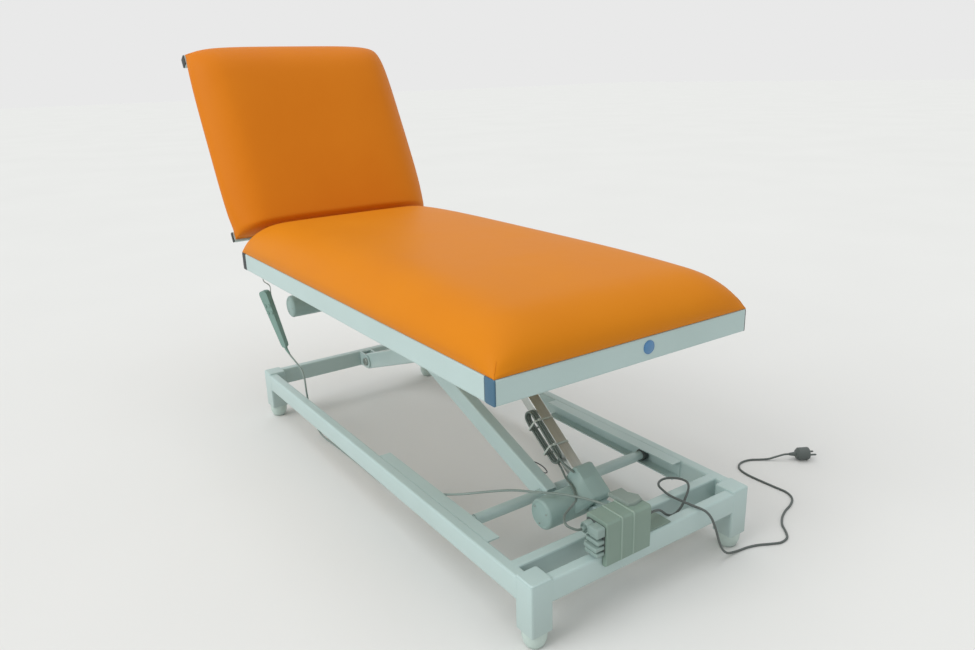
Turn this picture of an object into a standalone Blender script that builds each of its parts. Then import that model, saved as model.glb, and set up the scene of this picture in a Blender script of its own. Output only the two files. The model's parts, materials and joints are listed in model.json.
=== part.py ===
"""Electric examination couch, as separate pieces in one frame.

A tubular base on four feet carries a flat bed frame on one crossed pair of arms. A linear actuator lifts the
bed, and a second one raises the backrest, which stands up at rest. Metres, +Z up, +X toward the foot end, the
origin on the floor under the middle of the couch.
"""

import math

import bmesh
import bpy
from mathutils import Matrix, Vector

for leftover in list(bpy.data.objects):
    bpy.data.objects.remove(leftover, do_unlink=True)


# Driving dimensions

SLIP = 0.0003               # gap between pieces that touch
BITE = 0.0005               # overlap of shapes welded into one body
WALL = 0.002                # steel tube wall
FOOT_X = 0.7995             # foot end of the bed frame

BED_WIDTH = 0.650
BED_LENGTH = 1.295
BED_TOP = 0.5305
BED_TUBE_W = 0.030
BED_TUBE_H = 0.050
CAP = 0.003                 # room for a tube end cap

BASE_WIDTH = 0.596
BASE_LENGTH = 1.367
BASE_OVERHANG = 0.061       # base past the foot end of the bed
BASE_TUBE_W = 0.025
BASE_TUBE_H = 0.050
BASE_TOP = 0.145
INNER_BAR_SETBACK = 0.033   # inner crossbar, behind the foot end of the bed
POST = 0.050
FOOT_HEIGHT = 0.036
FOOT_FLAT_R = 0.013

ARM_W = 0.030
ARM_H = 0.050
ARM_OFFSET = 0.040          # arm centre lines either side of the middle
ARM_PIVOT_REACH = 0.029     # fixed pivots, in from the head rails
ROLLER_SETBACK = 0.220      # rollers, behind the foot end of the bed
LOW_DROP = 0.0225           # pivots and rollers on the base, below its top
HIGH_RISE = 0.0065          # pivots and rollers under the bed, above its under face
SHAFT_R = 0.0125
PIN_R = 0.008
EYE_HALF = 0.015            # half width of the actuator's eye
STUB_R = 0.008
BASE_ROLLER_R = 0.014
BED_ROLLER_R = 0.018
ROLLER_W = 0.016
GUIDE_START = 0.567         # guides, behind the foot end of the bed
GUIDE_END = 0.110
GUIDE_DEPTH = 0.027
GUIDE_WALL = 0.003

LIFT_PIVOT_SETBACK = 0.080
LIFT_PIVOT_DROP = 0.022     # below the top of the base
LIFT_PIN_BACK = 0.269536    # rod pin, back from the roller along the driven arm
LIFT_PIN_RISE = 0.025433    # and above the arm's middle
LIFT_TUBE = 0.030
LIFT_ROD_SHOWN = 0.115      # rod pin past the end of the outer tube
LIFT_ROD_INSIDE = 0.185     # rod left inside the tube at rest
LIFT_SLOT = (-0.0019, 0.0221)
LIFT_SLOT_TILT = math.radians(12.0)
MOTOR_R = 0.034
ROD_R = 0.010
EYE_R = 0.014
EYE_PIN_R = 0.006
SLOT_SIDE = 0.0015          # play across a slotted lug

BACK_ANGLE = math.radians(62.0)
HINGE_BACK = 0.031          # backrest hinge, behind the bed frame
HINGE_RISE = 0.0355         # above the top of the bed frame
PAD_BELOW_HINGE = 0.0356    # under face of the back pad, square to it
BACK_PAD_START = 0.0087
BACK_PAD_LENGTH = 0.608
BACK_TUBE = 0.030
BACK_LOW_TUBE_H = 0.013      # lower cross tube, flat so that the actuator passes behind it
BACK_PIVOT_OUT = 0.015      # actuator's pivot, out from the head of the bed
BACK_PIVOT_DROP = 0.0905    # and below the bed frame
BACK_ACT_Y = -0.095
BACK_PIN_ALONG = 0.180
BACK_PIN_BELOW = 0.065
BACK_SLOT = (-0.0195, 0.0005)
BACK_TUBE_END = 0.188
BACK_ROD_INSIDE = 0.023     # rod left inside the tube at rest
HINGE_INSET = 0.105         # in from the side of the bed
BACK_SIDE_INSET = 0.125     # side tubes' middles, in from the side of the bed
BACK_SIDE_W = 0.025
HINGE_PLATE = 0.005

PAD_THICK = 0.080
PAD_CROWN = 0.018
PAD_ROUND = 0.060
PAD_DRAW = 0.004            # sides drawn in between the corners
BOARD_THICK = 0.012
BOARD_INSET = 0.024

BOX_Y = (-0.130, -0.015)
BOX_RISE = 0.075            # above the top of the base
BOX_SKIRT = 0.020           # below it, past the crossbar
MAINS_EXIT_RISE = 0.027
PLUG_RISE = (0.020, 0.053)
BOX_FRONT = 0.0735          # past the foot end of the bed
BOX_BACK = 0.015
HANDSET_WIDE = 0.033
HANDSET_LOW_WIDE = 0.0235
HANDSET_THICK = 0.016
HANDSET_TURN = math.radians(22)     # about its own length, towards the foot end
HANDSET_TOP_IN = 0.098      # from the head of the bed
HANDSET_TOP_SIDE = 0.020    # in from the side of the bed
HANDSET_TOP_DROP = 0.0505   # below the bed frame
HANDSET_LOW_IN = 0.126
HANDSET_LOW_SIDE = 0.057
HANDSET_LOW_DROP = 0.2245
MAINS_R = 0.0026
LEAD_R = 0.0025


# Places worked out from them

HEAD_X = FOOT_X - BED_LENGTH
BED_UNDER = BED_TOP - BED_TUBE_H
BED_MID = BED_TOP - BED_TUBE_H / 2
BASE_FOOT = FOOT_X + BASE_OVERHANG
BASE_HEAD = BASE_FOOT - BASE_LENGTH
BASE_MID = BASE_TOP - BASE_TUBE_H / 2
BASE_SIDE = BASE_WIDTH / 2
BED_SIDE = BED_WIDTH / 2
LOW_Z = BASE_TOP - LOW_DROP
HIGH_Z = BED_UNDER + HIGH_RISE
ARM_PIVOT_X = max(HEAD_X + BED_TUBE_W, BASE_HEAD + BASE_TUBE_W) + ARM_PIVOT_REACH
ROLLER_X = FOOT_X - ROLLER_SETBACK
ARM_SPAN = ROLLER_X - ARM_PIVOT_X
ARM_LEAN = math.atan2(HIGH_Z - LOW_Z, ARM_SPAN)
ARM_LENGTH = math.hypot(HIGH_Z - LOW_Z, ARM_SPAN)
INNER_BAR_X = FOOT_X - INNER_BAR_SETBACK
LIFT_PIVOT = (FOOT_X - LIFT_PIVOT_SETBACK, BASE_TOP - LIFT_PIVOT_DROP)
LIFT_PIN_ALONG = ARM_LENGTH - LIFT_PIN_BACK
LIFT_PIN = (ARM_PIVOT_X + LIFT_PIN_ALONG * math.cos(ARM_LEAN) - LIFT_PIN_RISE * math.sin(ARM_LEAN),
            LOW_Z + LIFT_PIN_ALONG * math.sin(ARM_LEAN) + LIFT_PIN_RISE * math.cos(ARM_LEAN))
LIFT_LENGTH = math.dist(LIFT_PIN, LIFT_PIVOT)
LIFT_ANGLE = math.atan2(LIFT_PIN[1] - LIFT_PIVOT[1], LIFT_PIVOT[0] - LIFT_PIN[0])
LIFT_TUBE_END = LIFT_LENGTH - LIFT_ROD_SHOWN
HINGE = (HEAD_X - HINGE_BACK, BED_TOP + HINGE_RISE)
HINGE_Y = BED_SIDE - HINGE_INSET
BACK_PIVOT = (HEAD_X - BACK_PIVOT_OUT, BED_UNDER - BACK_PIVOT_DROP)
HINGE_STACK = 3 * HINGE_PLATE + 4 * SLIP
BACK_ALONG = (-math.cos(BACK_ANGLE), math.sin(BACK_ANGLE))
BACK_NORMAL = (math.sin(BACK_ANGLE), math.cos(BACK_ANGLE))
BACK_PIN = tuple(HINGE[i] + BACK_PIN_ALONG * BACK_ALONG[i] - BACK_PIN_BELOW * BACK_NORMAL[i]
                 for i in (0, 1))
BACK_REACH = (BACK_PIN[0] - BACK_PIVOT[0], BACK_PIN[1] - BACK_PIVOT[1])
BACK_ACT_LENGTH = math.hypot(*BACK_REACH)
BACK_ACT_ANGLE = math.atan2(BACK_REACH[1], -BACK_REACH[0])


# Finishes: colour in sRGB, metallic, roughness

FINISHES = {
    "frame_enamel": ("#B4C7C3", 0.0, 0.40),
    "foot_plastic": ("#AFC0BA", 0.0, 0.45),
    "housing_grey": ("#7F9890", 0.0, 0.50),
    "box_grey": ("#728678", 0.0, 0.55),
    "bright_tube": ("#C9CCC8", 1.0, 0.25),
    "zinc_steel": ("#A9ADAA", 1.0, 0.40),
    "cord_grey": ("#3C4240", 0.0, 0.55),
    "upholstery": ("#DD8522", 0.0, 0.45),
    "plywood": ("#B08D5E", 0.0, 0.70),
    "handset_grey": ("#7C9A90", 0.0, 0.50),
    "button_pale": ("#C8D2CC", 0.0, 0.50),
    "roller_nylon": ("#4A5250", 0.0, 0.50),
}


def linear(channel):
    """Linear value of one sRGB channel."""
    if channel <= 0.04045:
        return channel / 12.92
    return ((channel + 0.055) / 1.055) ** 2.4


def finish(name):
    """Principled material of a named finish, made once."""
    found = bpy.data.materials.get(name)
    if found:
        return found
    colour, metallic, roughness = FINISHES[name]
    material = bpy.data.materials.new(name)
    material.use_nodes = True
    shader = material.node_tree.nodes["Principled BSDF"]
    rgb = [linear(int(colour[i:i + 2], 16) / 255) for i in (1, 3, 5)]
    shader.inputs["Base Color"].default_value = (*rgb, 1.0)
    shader.inputs["Metallic"].default_value = metallic
    shader.inputs["Roughness"].default_value = roughness
    return material


# Outlines, as points (x, z)

def arc(cx, cz, radius, start, end, count):
    """Points on an arc, angles in degrees."""
    angles = [math.radians(start + (end - start) * i / (count - 1)) for i in range(count)]
    return [(cx + radius * math.cos(a), cz + radius * math.sin(a)) for a in angles]


def rounded(width, height, radius):
    """Rectangle about the origin with rounded corners."""
    x = width / 2 - radius
    z = height / 2 - radius
    corners = ((x, z, 0), (-x, z, 90), (-x, -z, 180), (x, -z, 270))
    return [p for cx, cz, a in corners for p in arc(cx, cz, radius, a, a + 90, 3)]


def capsule(start, end, radius):
    """Stadium round two points."""
    lean = math.degrees(math.atan2(end[1] - start[1], end[0] - start[0]))
    return arc(*end, radius, lean - 90, lean + 90, 9) + arc(*start, radius, lean + 90, lean + 270, 9)


def reach(outline, centre, angle):
    """Where a ray from the centre leaves an outline that has one crossing on each ray."""
    dx, dz = math.cos(angle), math.sin(angle)
    far = 0.0
    for (px, pz), (qx, qz) in zip(outline, outline[1:] + outline[:1]):
        ex, ez = qx - px, qz - pz
        cross = dx * ez - dz * ex
        if abs(cross) < 1e-12:
            continue
        along = ((px - centre[0]) * ez - (pz - centre[1]) * ex) / cross
        share = ((px - centre[0]) * dz - (pz - centre[1]) * dx) / cross
        if along > far and -1e-9 <= share <= 1 + 1e-9:
            far = along
    return centre[0] + far * dx, centre[1] + far * dz


# Solids, each as (points, faces)

def prism(outline, depth):
    """Outline drawn out along Y, about y = 0."""
    count = len(outline)
    points = [(x, side * depth / 2, z) for side in (-1, 1) for x, z in outline]
    faces = [tuple(range(count)), tuple(range(2 * count - 1, count - 1, -1))]
    for i in range(count):
        j = (i + 1) % count
        faces.append((j, i, count + i, count + j))
    return points, faces


def tunnel(outer, inner, depth):
    """Two outlines of equal count, drawn out along Y as a wall between them."""
    count = len(outer)
    loops = [[(x, y, z) for x, z in loop] for loop, y in
             ((outer, -depth / 2), (outer, depth / 2), (inner, depth / 2), (inner, -depth / 2))]
    points = [p for loop in loops for p in loop]
    faces = []
    for ring in range(4):
        for i in range(count):
            j = (i + 1) % count
            here, there = ring * count, (ring + 1) % 4 * count
            faces.append((here + i, here + j, there + j, there + i))
    return points, faces


def plate(outline, hole, centre, depth):
    """Plate along Y with one hole, both outlines read on rays from the hole's centre."""
    angles = {round(2 * math.pi * i / 16, 6) for i in range(16)}
    for x, z in outline:
        angles.add(round(math.atan2(z - centre[1], x - centre[0]) % (2 * math.pi), 6))
    ordered = sorted(angles)
    spread = [a for a, b in zip(ordered, ordered[1:] + [ordered[0] + 2 * math.pi]) if b - a > 0.004]
    rim = [reach(outline, centre, a) for a in spread]
    return tunnel(rim, [reach(hole, centre, a) for a in spread], depth)


def turned(profile, segments=24):
    """Profile of (y, radius) pairs turned about the Y axis, closed by flat ends."""
    points = []
    faces = []
    for y, radius in profile:
        for i in range(segments):
            a = 2 * math.pi * i / segments
            points.append((radius * math.cos(a), y, radius * math.sin(a)))
    for ring in range(len(profile) - 1):
        for i in range(segments):
            j = (i + 1) % segments
            here, there = ring * segments, (ring + 1) * segments
            faces.append((here + i, here + j, there + j, there + i))
    last = (len(profile) - 1) * segments
    faces.append(tuple(range(segments)))
    faces.append(tuple(range(last + segments - 1, last - 1, -1)))
    return points, faces


def ring(outer, inner, depth, segments=24):
    """Bush along Y."""
    return tunnel(arc(0, 0, outer, 0, 360 - 360 / segments, segments),
                  arc(0, 0, inner, 0, 360 - 360 / segments, segments), depth)


def tube(length, width, height, corner=0.004):
    """Hollow rectangular tube along Y, width on X and height on Z."""
    return tunnel(rounded(width, height, corner),
                  rounded(width - 2 * WALL, height - 2 * WALL, max(corner - WALL, 0.001)), length)


def bolt(length, shank, head, thick):
    """Pin along Y with a flat head at each end, length between the heads."""
    half = length / 2
    bevel = 0.15 * thick
    side = [(half, shank), (half, head), (half + thick - bevel, head), (half + thick, head - bevel)]
    return turned([(-y, r) for y, r in reversed(side)] + side, 16)


def put(solid, at=(0, 0, 0), turn=None):
    """Solid moved, after a turn given as (degrees, axis letter)."""
    points, faces = solid
    place = Matrix.Translation(at)
    if turn:
        place = place @ Matrix.Rotation(math.radians(turn[0]), 4, turn[1])
    return [tuple(place @ Vector(p)) for p in points], faces


def along_x(solid):
    """Solid made along Y, laid along X, with its X side facing -Y."""
    return put(solid, turn=(-90, "Z"))


def axis(name, at, lean=0.0):
    """Empty on a joint axis, turned about Y."""
    empty = bpy.data.objects.new(name, None)
    empty.location = at
    empty.rotation_euler = (0, lean, 0)
    bpy.context.scene.collection.objects.link(empty)
    return empty


def body(name, solid, look, on):
    """Object of one solid, with normals facing out."""
    mesh = bpy.data.meshes.new(name)
    mesh.from_pydata(solid[0], [], solid[1])
    work = bmesh.new()
    work.from_mesh(mesh)
    bmesh.ops.recalc_face_normals(work, faces=work.faces)
    if work.calc_volume(signed=True) < 0:
        bmesh.ops.reverse_faces(work, faces=work.faces)
    work.to_mesh(mesh)
    work.free()
    mesh.shade_smooth()
    mesh.set_sharp_from_angle(angle=math.radians(35))
    mesh.materials.append(finish(look))
    made = bpy.data.objects.new(name, mesh)
    made.parent = on
    bpy.context.scene.collection.objects.link(made)
    return made


def node(name, look, solids, on=None, cuts=()):
    """One named sub-part: solids welded into one body, then cut, on an axis empty or in the world."""
    made = body(name, solids[0], look, on)
    steps = [("UNION", solid) for solid in solids[1:]] + [("DIFFERENCE", solid) for solid in cuts]
    for number, (operation, solid) in enumerate(steps):
        helper = body("%s_helper_%d" % (name, number), solid, look, on)
        helper.hide_render = True
        helper.display_type = "WIRE"
        weld = made.modifiers.new("weld_%d" % number, "BOOLEAN")
        weld.operation = operation
        weld.solver = "EXACT"
        weld.object = helper
    return made


# Base

def make_base():
    """End frames of a crossbar and two posts, side rails with their roller channels, and feet."""
    rail_y = BASE_SIDE - BASE_TUBE_W / 2
    post_y = BASE_SIDE - POST / 2
    low = FOOT_HEIGHT + SLIP
    post_height = BASE_TOP - low
    post = put(prism(rounded(POST, POST, 0.004), post_height), turn=(90, "X"))
    hollow = put(prism(rounded(POST - 2 * WALL, POST - 2 * WALL, 0.002), post_height), turn=(90, "X"))
    cap = put(turned_square(POST - 2 * BITE, 0.004), turn=(90, "X"))
    bar = prism(rounded(BASE_TUBE_W - 2 * BITE, BASE_TUBE_H - 2 * BITE, 0.004), 2 * post_y)
    bore = prism(rounded(BASE_TUBE_W - 2 * WALL, BASE_TUBE_H - 2 * WALL, 0.002), 2 * post_y)
    ends = (("base_end_head", BASE_HEAD, 1), ("base_end_foot", BASE_FOOT, -1))
    for name, edge, inward in ends:
        post_x = edge + inward * POST / 2
        bar_x = edge + inward * BASE_TUBE_W / 2
        mid_z = low + post_height / 2
        solids = [put(bar, (bar_x, 0, BASE_MID))]
        cuts = [put(bore, (bar_x, 0, BASE_MID))]
        for hand in (-1, 1):
            solids.append(put(post, (post_x, hand * post_y, mid_z)))
            solids.append(put(cap, (post_x, hand * post_y, BASE_TOP - BITE)))
            cuts.append(put(hollow, (post_x, hand * post_y, mid_z - WALL)))
        node(name, "frame_enamel", solids, cuts=cuts)

    rail_length = BASE_LENGTH - 2 * POST - 2 * SLIP
    rail_x = (BASE_FOOT + BASE_HEAD) / 2
    rail = along_x(tube(rail_length, BASE_TUBE_W, BASE_TUBE_H))
    wall = GUIDE_WALL
    floor_z = LOW_Z - BASE_ROLLER_R - 0.001 - wall
    roof = BASE_TOP - BITE
    inner = -GUIDE_DEPTH
    channel = [(2 * BITE, floor_z), (inner, floor_z), (inner, floor_z + wall), (-wall, floor_z + wall),
               (-wall, roof - wall), (inner, roof - wall), (inner, roof), (2 * BITE, roof)]
    for side, hand in (("left", -1), ("right", 1)):
        guide = guide_solid(channel, BASE_SIDE - BASE_TUBE_W, hand)
        node("base_rail_" + side, "frame_enamel", [put(rail, (rail_x, hand * rail_y, BASE_MID)), guide])

    foot_profile = [(0.0, FOOT_FLAT_R), (0.003, FOOT_FLAT_R + 0.005), (0.010, 0.0215), (0.020, 0.0245),
                    (0.030, 0.025), (FOOT_HEIGHT, 0.0245)]
    foot = put(turned(foot_profile, 20), turn=(90, "X"))
    for end, x in (("head", BASE_HEAD + POST / 2), ("foot", BASE_FOOT - POST / 2)):
        for side, hand in (("left", -1), ("right", 1)):
            node("foot_%s_%s" % (end, side), "foot_plastic", [put(foot, (x, hand * post_y, 0))])


def guide_solid(outline, face, hand):
    """Roller guide drawn out along X from an outline of (depth, z) on one side's face."""
    length = GUIDE_START - GUIDE_END
    mid_x = FOOT_X - (GUIDE_START + GUIDE_END) / 2
    return put(prism([(hand * (face + x), z) for x, z in outline], length), (mid_x, 0, 0), (90, "Z"))


def turned_square(side, height):
    """Low square cap along Y with chamfered edges."""
    wide = rounded(side, side, 0.004)
    narrow = rounded(side - 0.005, side - 0.005, 0.004)
    count = len(wide)
    points = [(x, y, z) for loop, y in ((wide, 0), (wide, height / 2), (narrow, height)) for x, z in loop]
    faces = [tuple(range(count)), tuple(range(3 * count - 1, 2 * count - 1, -1))]
    for level in (0, count):
        for i in range(count):
            j = (i + 1) % count
            faces.append((level + i, level + j, level + count + j, level + count + i))
    return points, faces


def make_base_brackets():
    """Bracket for the arm pivot, inner crossbar with the actuator's bracket, and their pins."""
    thick = 0.005
    bar_face = BASE_HEAD + BASE_TUBE_W + SLIP
    lug_r = 0.022
    nose = arc(ARM_PIVOT_X, LOW_Z, lug_r, -90, 90, 9)
    lug = [(bar_face, LOW_Z - lug_r)] + nose + [(bar_face, LOW_Z + lug_r)]
    hole = arc(ARM_PIVOT_X, LOW_Z, PIN_R + SLIP, 0, 345, 24)
    ear = plate(lug, hole, (ARM_PIVOT_X, LOW_Z), thick)
    off = ARM_W / 2 + SLIP + thick / 2
    back = prism(rounded(thick, 2 * (lug_r - BITE), 0.001), 2 * off)
    back = put(back, (bar_face + thick / 2, ARM_OFFSET, LOW_Z))
    ears = [put(ear, (0, ARM_OFFSET + side * off, 0)) for side in (-1, 1)]
    node("arm_pivot_bracket", "frame_enamel", ears + [back])
    pin = bolt(ARM_W + 2 * (SLIP + thick) + 2 * SLIP, PIN_R, 0.013, 0.006)
    node("arm_pivot_pin", "zinc_steel", [put(pin, (ARM_PIVOT_X, ARM_OFFSET, LOW_Z))])

    thick = 0.006
    px, pz = LIFT_PIVOT
    face = INNER_BAR_X + BITE
    low, high = BASE_TOP - BASE_TUBE_H + 0.002, BASE_TOP + 0.008
    cheek = [(face, low), (face, high)] + arc(px, pz, 0.020, 90, 270, 11)
    hole = arc(px, pz, PIN_R + SLIP, 0, 345, 24)
    ear = plate(cheek, hole, (px, pz), thick)
    off = EYE_HALF + SLIP + thick / 2
    bar = tube(BASE_WIDTH - 2 * BASE_TUBE_W - 2 * SLIP, BASE_TUBE_W, BASE_TUBE_H)
    bar = put(bar, (INNER_BAR_X + BASE_TUBE_W / 2, 0, BASE_MID))
    node("base_crossbar_inner", "frame_enamel", [bar] + [put(ear, (0, side * off, 0)) for side in (-1, 1)])
    pin = bolt(2 * (EYE_HALF + SLIP + thick) + 2 * SLIP, PIN_R, 0.013, 0.006)
    node("lift_pivot_pin", "zinc_steel", [put(pin, (px, 0, pz))])


# Lift arms

def rod_lug():
    """Slotted lug on the driven arm, in the arm's own frame."""
    local = (LIFT_PIN_ALONG, LIFT_PIN_RISE)
    run = (math.cos(LIFT_SLOT_TILT), math.sin(LIFT_SLOT_TILT))
    ends = [(local[0] + s * run[0], local[1] + s * run[1]) for s in LIFT_SLOT]
    middle = ((ends[0][0] + ends[1][0]) / 2, (ends[0][1] + ends[1][1]) / 2)
    slot = capsule(ends[0], ends[1], EYE_PIN_R + SLOT_SIDE)
    rim = capsule(ends[0], ends[1], EYE_PIN_R + SLOT_SIDE + 0.009)
    inner_y = 0.010 + SLIP
    thick = ARM_OFFSET - ARM_W / 2 + BITE - inner_y
    return put(plate(rim, slot, middle, thick), (0, inner_y + thick / 2 - ARM_OFFSET, 0))


def make_arm(name, on, fixed_hand):
    """Arm tube along X with a bush at each end, a boss outside and, on the driven arm, spacer and lug."""
    past = 0.014
    span = ARM_LENGTH + 2 * past
    mid = ARM_LENGTH / 2
    bush_half = ARM_W / 2 - BITE
    solids = [put(along_x(tube(span, ARM_W, ARM_H)), (mid, 0, 0))]
    solids.append(turned([(-bush_half, 0.0125), (bush_half, 0.0125)], 20))
    solids.append(put(turned([(-bush_half, 0.0170), (bush_half, 0.0170)], 20), (ARM_LENGTH, 0, 0)))
    boss = [(ARM_W / 2 - BITE, 0.016), (ARM_W / 2 + 0.005, 0.016), (ARM_W / 2 + 0.006, 0.015)]
    solids.append(put(turned([(fixed_hand * y, r) for y, r in boss], 20), (mid, 0, 0)))
    if fixed_hand > 0:
        gap = 2 * ARM_OFFSET - ARM_W
        spacer = [(-ARM_W / 2 - gap + SLIP, SHAFT_R), (-ARM_W / 2 + BITE, SHAFT_R)]
        solids.append(put(turned(spacer, 20), (mid, 0, 0)))
        solids.append(rod_lug())
    cuts = [turned([(-ARM_W, PIN_R + SLIP), (ARM_W, PIN_R + SLIP)], 20)]
    cuts.append(put(turned([(-ARM_W, SHAFT_R + SLIP), (ARM_W, SHAFT_R + SLIP)], 20), (ARM_LENGTH, 0, 0)))
    node(name, "frame_enamel", solids, on, cuts)


def shaft(reach_y, stub_end, collar):
    """Cross shaft along Y with a collar and a thinner stub at each end."""
    half = [(0.0, SHAFT_R), (reach_y - 0.020, SHAFT_R), (reach_y - 0.020, collar), (reach_y, collar),
            (reach_y, STUB_R), (stub_end, STUB_R)]
    return turned([(-y, r) for y, r in reversed(half[1:])] + half[1:], 16)


def roller(radius):
    """Grooveless roller along Y with a bore for the stub."""
    bore = STUB_R + SLIP
    half = ROLLER_W / 2
    rim = 0.0015
    profile = [(-half, bore), (-half, radius - rim), (-half + rim, radius), (half - rim, radius),
               (half, radius - rim), (half, bore)]
    segments = 20
    points = [(r * math.cos(2 * math.pi * i / segments), y, r * math.sin(2 * math.pi * i / segments))
              for y, r in profile for i in range(segments)]
    faces = []
    for level in range(len(profile)):
        for i in range(segments):
            j = (i + 1) % segments
            here, there = level * segments, (level + 1) % len(profile) * segments
            faces.append((here + i, here + j, there + j, there + i))
    return points, faces


def make_arms():
    """The crossed arms, their shafts and rollers."""
    make_arm("lift_arm_head", axis("arm_head_axis", (ARM_PIVOT_X, ARM_OFFSET, LOW_Z), -ARM_LEAN), 1)
    make_arm("lift_arm_foot", axis("arm_foot_axis", (ARM_PIVOT_X, -ARM_OFFSET, HIGH_Z), ARM_LEAN), -1)

    sets = (("bed", HIGH_Z, BED_ROLLER_R, BED_SIDE - BED_TUBE_W - SLIP, "lift_head_shaft"),
            ("base", LOW_Z, BASE_ROLLER_R, BASE_SIDE - BASE_TUBE_W - SLIP, "lift_foot_shaft"))
    for where, z, radius, face, shaft_name in sets:
        middle_y = face - GUIDE_WALL - 0.0015 - ROLLER_W / 2
        inner_y = middle_y - ROLLER_W / 2 - SLIP
        stub_end = middle_y + ROLLER_W / 2 + 0.001
        centre = axis(where + "_roller_axis", (ROLLER_X, 0, z))
        collar = radius - 0.0035
        node(shaft_name, "frame_enamel", [shaft(inner_y, stub_end, collar)], centre)
        for side, hand in (("left", -1), ("right", 1)):
            wheel = put(roller(radius), (0, hand * middle_y, 0))
            node(where + "_roller_" + side, "roller_nylon", [wheel], centre)


# Lift actuator

def make_lift_actuator():
    """Gear housing with its eye, motor, outer tube with its wiper, and the rod with its pin."""
    px, pz = LIFT_PIVOT
    turning = axis("lift_actuator_axis", (px, 0, pz), LIFT_ANGLE)

    motor_at = (-0.0515, -0.0194)
    near, far = -0.022, -0.105
    case = [(near, 0.024), (near - 0.006, 0.030), (far + 0.006, 0.030), (far, 0.024), (far, -0.019)]
    case += arc(*motor_at, MOTOR_R, 200, 318, 9) + [(near, -0.022)]
    eye = [(near - BITE, 0.017), (near - BITE, -0.017)] + arc(0, 0, 0.017, -90, 90, 11)
    hole = arc(0, 0, PIN_R + SLIP, 0, 345, 24)
    solids = [put(prism(case, 0.044), (0, 0.004, 0)), plate(eye, hole, (0, 0), 2 * EYE_HALF)]
    node("lift_gearbox", "housing_grey", solids, turning)

    start = 0.018 + SLIP
    motor = [(-0.125, 0.020), (-0.125, MOTOR_R - 0.005), (-0.1225, MOTOR_R - 0.0015), (-0.119, MOTOR_R),
             (-start, MOTOR_R)]
    node("lift_motor", "housing_grey", [put(turned(motor, 24), (motor_at[0], 0, motor_at[1]))], turning)

    length = LIFT_TUBE_END + far - SLIP
    outer = put(along_x(tube(length, LIFT_TUBE, LIFT_TUBE, 0.003)), (far - SLIP - length / 2, 0, 0))
    wiper = put(along_x(ring(LIFT_TUBE / 2 - BITE, ROD_R + SLIP, 0.012)), (-LIFT_TUBE_END + 0.007, 0, 0))
    node("lift_outer_tube", "bright_tube", [outer, wiper], turning)

    rod_start = LIFT_TUBE_END - LIFT_ROD_INSIDE
    rod_end = LIFT_LENGTH - EYE_R + 0.001
    rod_length = rod_end - rod_start
    bar = put(along_x(turned([(-rod_length / 2, ROD_R), (rod_length / 2, ROD_R)], 20)),
              (-(rod_start + rod_end) / 2, 0, 0))
    reach_y = ARM_OFFSET - ARM_W / 2 - 2 * SLIP
    rod_eye = turned([(-0.016, 0.009), (-0.010, 0.009), (-0.010, EYE_R), (0.010, EYE_R),
                      (0.010, EYE_PIN_R), (reach_y, EYE_PIN_R)], 20)
    rod_eye = put(rod_eye, (-LIFT_LENGTH, 0, 0))
    node("lift_rod", "zinc_steel", [bar, rod_eye], turning)


# Bed frame

def make_bed():
    """Side rails with their roller angles, cross rails, arm pivot bracket and pin, board and pad."""
    rail_length = BED_LENGTH - 2 * BED_TUBE_W - 2 * SLIP
    rail = along_x(tube(rail_length, BED_TUBE_W, BED_TUBE_H))
    mid_x = (FOOT_X + HEAD_X) / 2
    rail_y = BED_SIDE - BED_TUBE_W / 2
    wall = GUIDE_WALL
    roof = HIGH_Z + BED_ROLLER_R + 0.001
    inner = -GUIDE_DEPTH
    angle = [(2 * BITE, BED_UNDER + 0.003), (-wall, BED_UNDER + 0.003), (-wall, roof), (inner, roof),
             (inner, roof + wall), (2 * BITE, roof + wall)]
    for side, hand in (("left", -1), ("right", 1)):
        guide = guide_solid(angle, BED_SIDE - BED_TUBE_W, hand)
        node("bed_rail_" + side, "frame_enamel", [put(rail, (mid_x, hand * rail_y, BED_MID)), guide])

    cross = tube(BED_WIDTH - 2 * CAP, BED_TUBE_W, BED_TUBE_H)
    for name, x in (("head", HEAD_X + BED_TUBE_W / 2), ("foot", FOOT_X - BED_TUBE_W / 2)):
        node("bed_cross_rail_" + name, "frame_enamel", [put(cross, (x, 0, BED_MID))])

    thick = 0.005
    face = HEAD_X + BED_TUBE_W + SLIP
    high = HIGH_Z + 0.036
    lug = [(face, HIGH_Z - 0.005)] + arc(ARM_PIVOT_X, HIGH_Z, 0.020, -75, 60, 9) + [(face, high)]
    hole = arc(ARM_PIVOT_X, HIGH_Z, PIN_R + SLIP, 0, 345, 24)
    ear = plate(lug, hole, (ARM_PIVOT_X, HIGH_Z), thick)
    off = ARM_W / 2 + SLIP + thick / 2
    web = put(prism(rounded(0.016, 0.004, 0.001), 2 * off), (face + 0.009, -ARM_OFFSET, high - 0.004))
    ears = [put(ear, (0, -ARM_OFFSET + side * off, 0)) for side in (-1, 1)]
    node("bed_pivot_bracket", "frame_enamel", ears + [web])
    pin = bolt(ARM_W + 2 * (SLIP + thick) + 2 * SLIP, PIN_R, 0.013, 0.006)
    node("bed_pivot_pin", "zinc_steel", [put(pin, (ARM_PIVOT_X, -ARM_OFFSET, HIGH_Z))])

    board_top = BED_TOP + SLIP + BOARD_THICK
    board = along_x(prism(rounded(BED_WIDTH - 2 * BOARD_INSET, BOARD_THICK, 0.001),
                          BED_LENGTH - 2 * BOARD_INSET))
    node("seat_board", "plywood", [put(board, (mid_x, 0, board_top - BOARD_THICK / 2))])
    pad = cushion(BED_LENGTH, BED_WIDTH, 14, 8)
    node("seat_pad", "upholstery", [put(pad, (mid_x, 0, BED_TOP + SLIP))])


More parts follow.
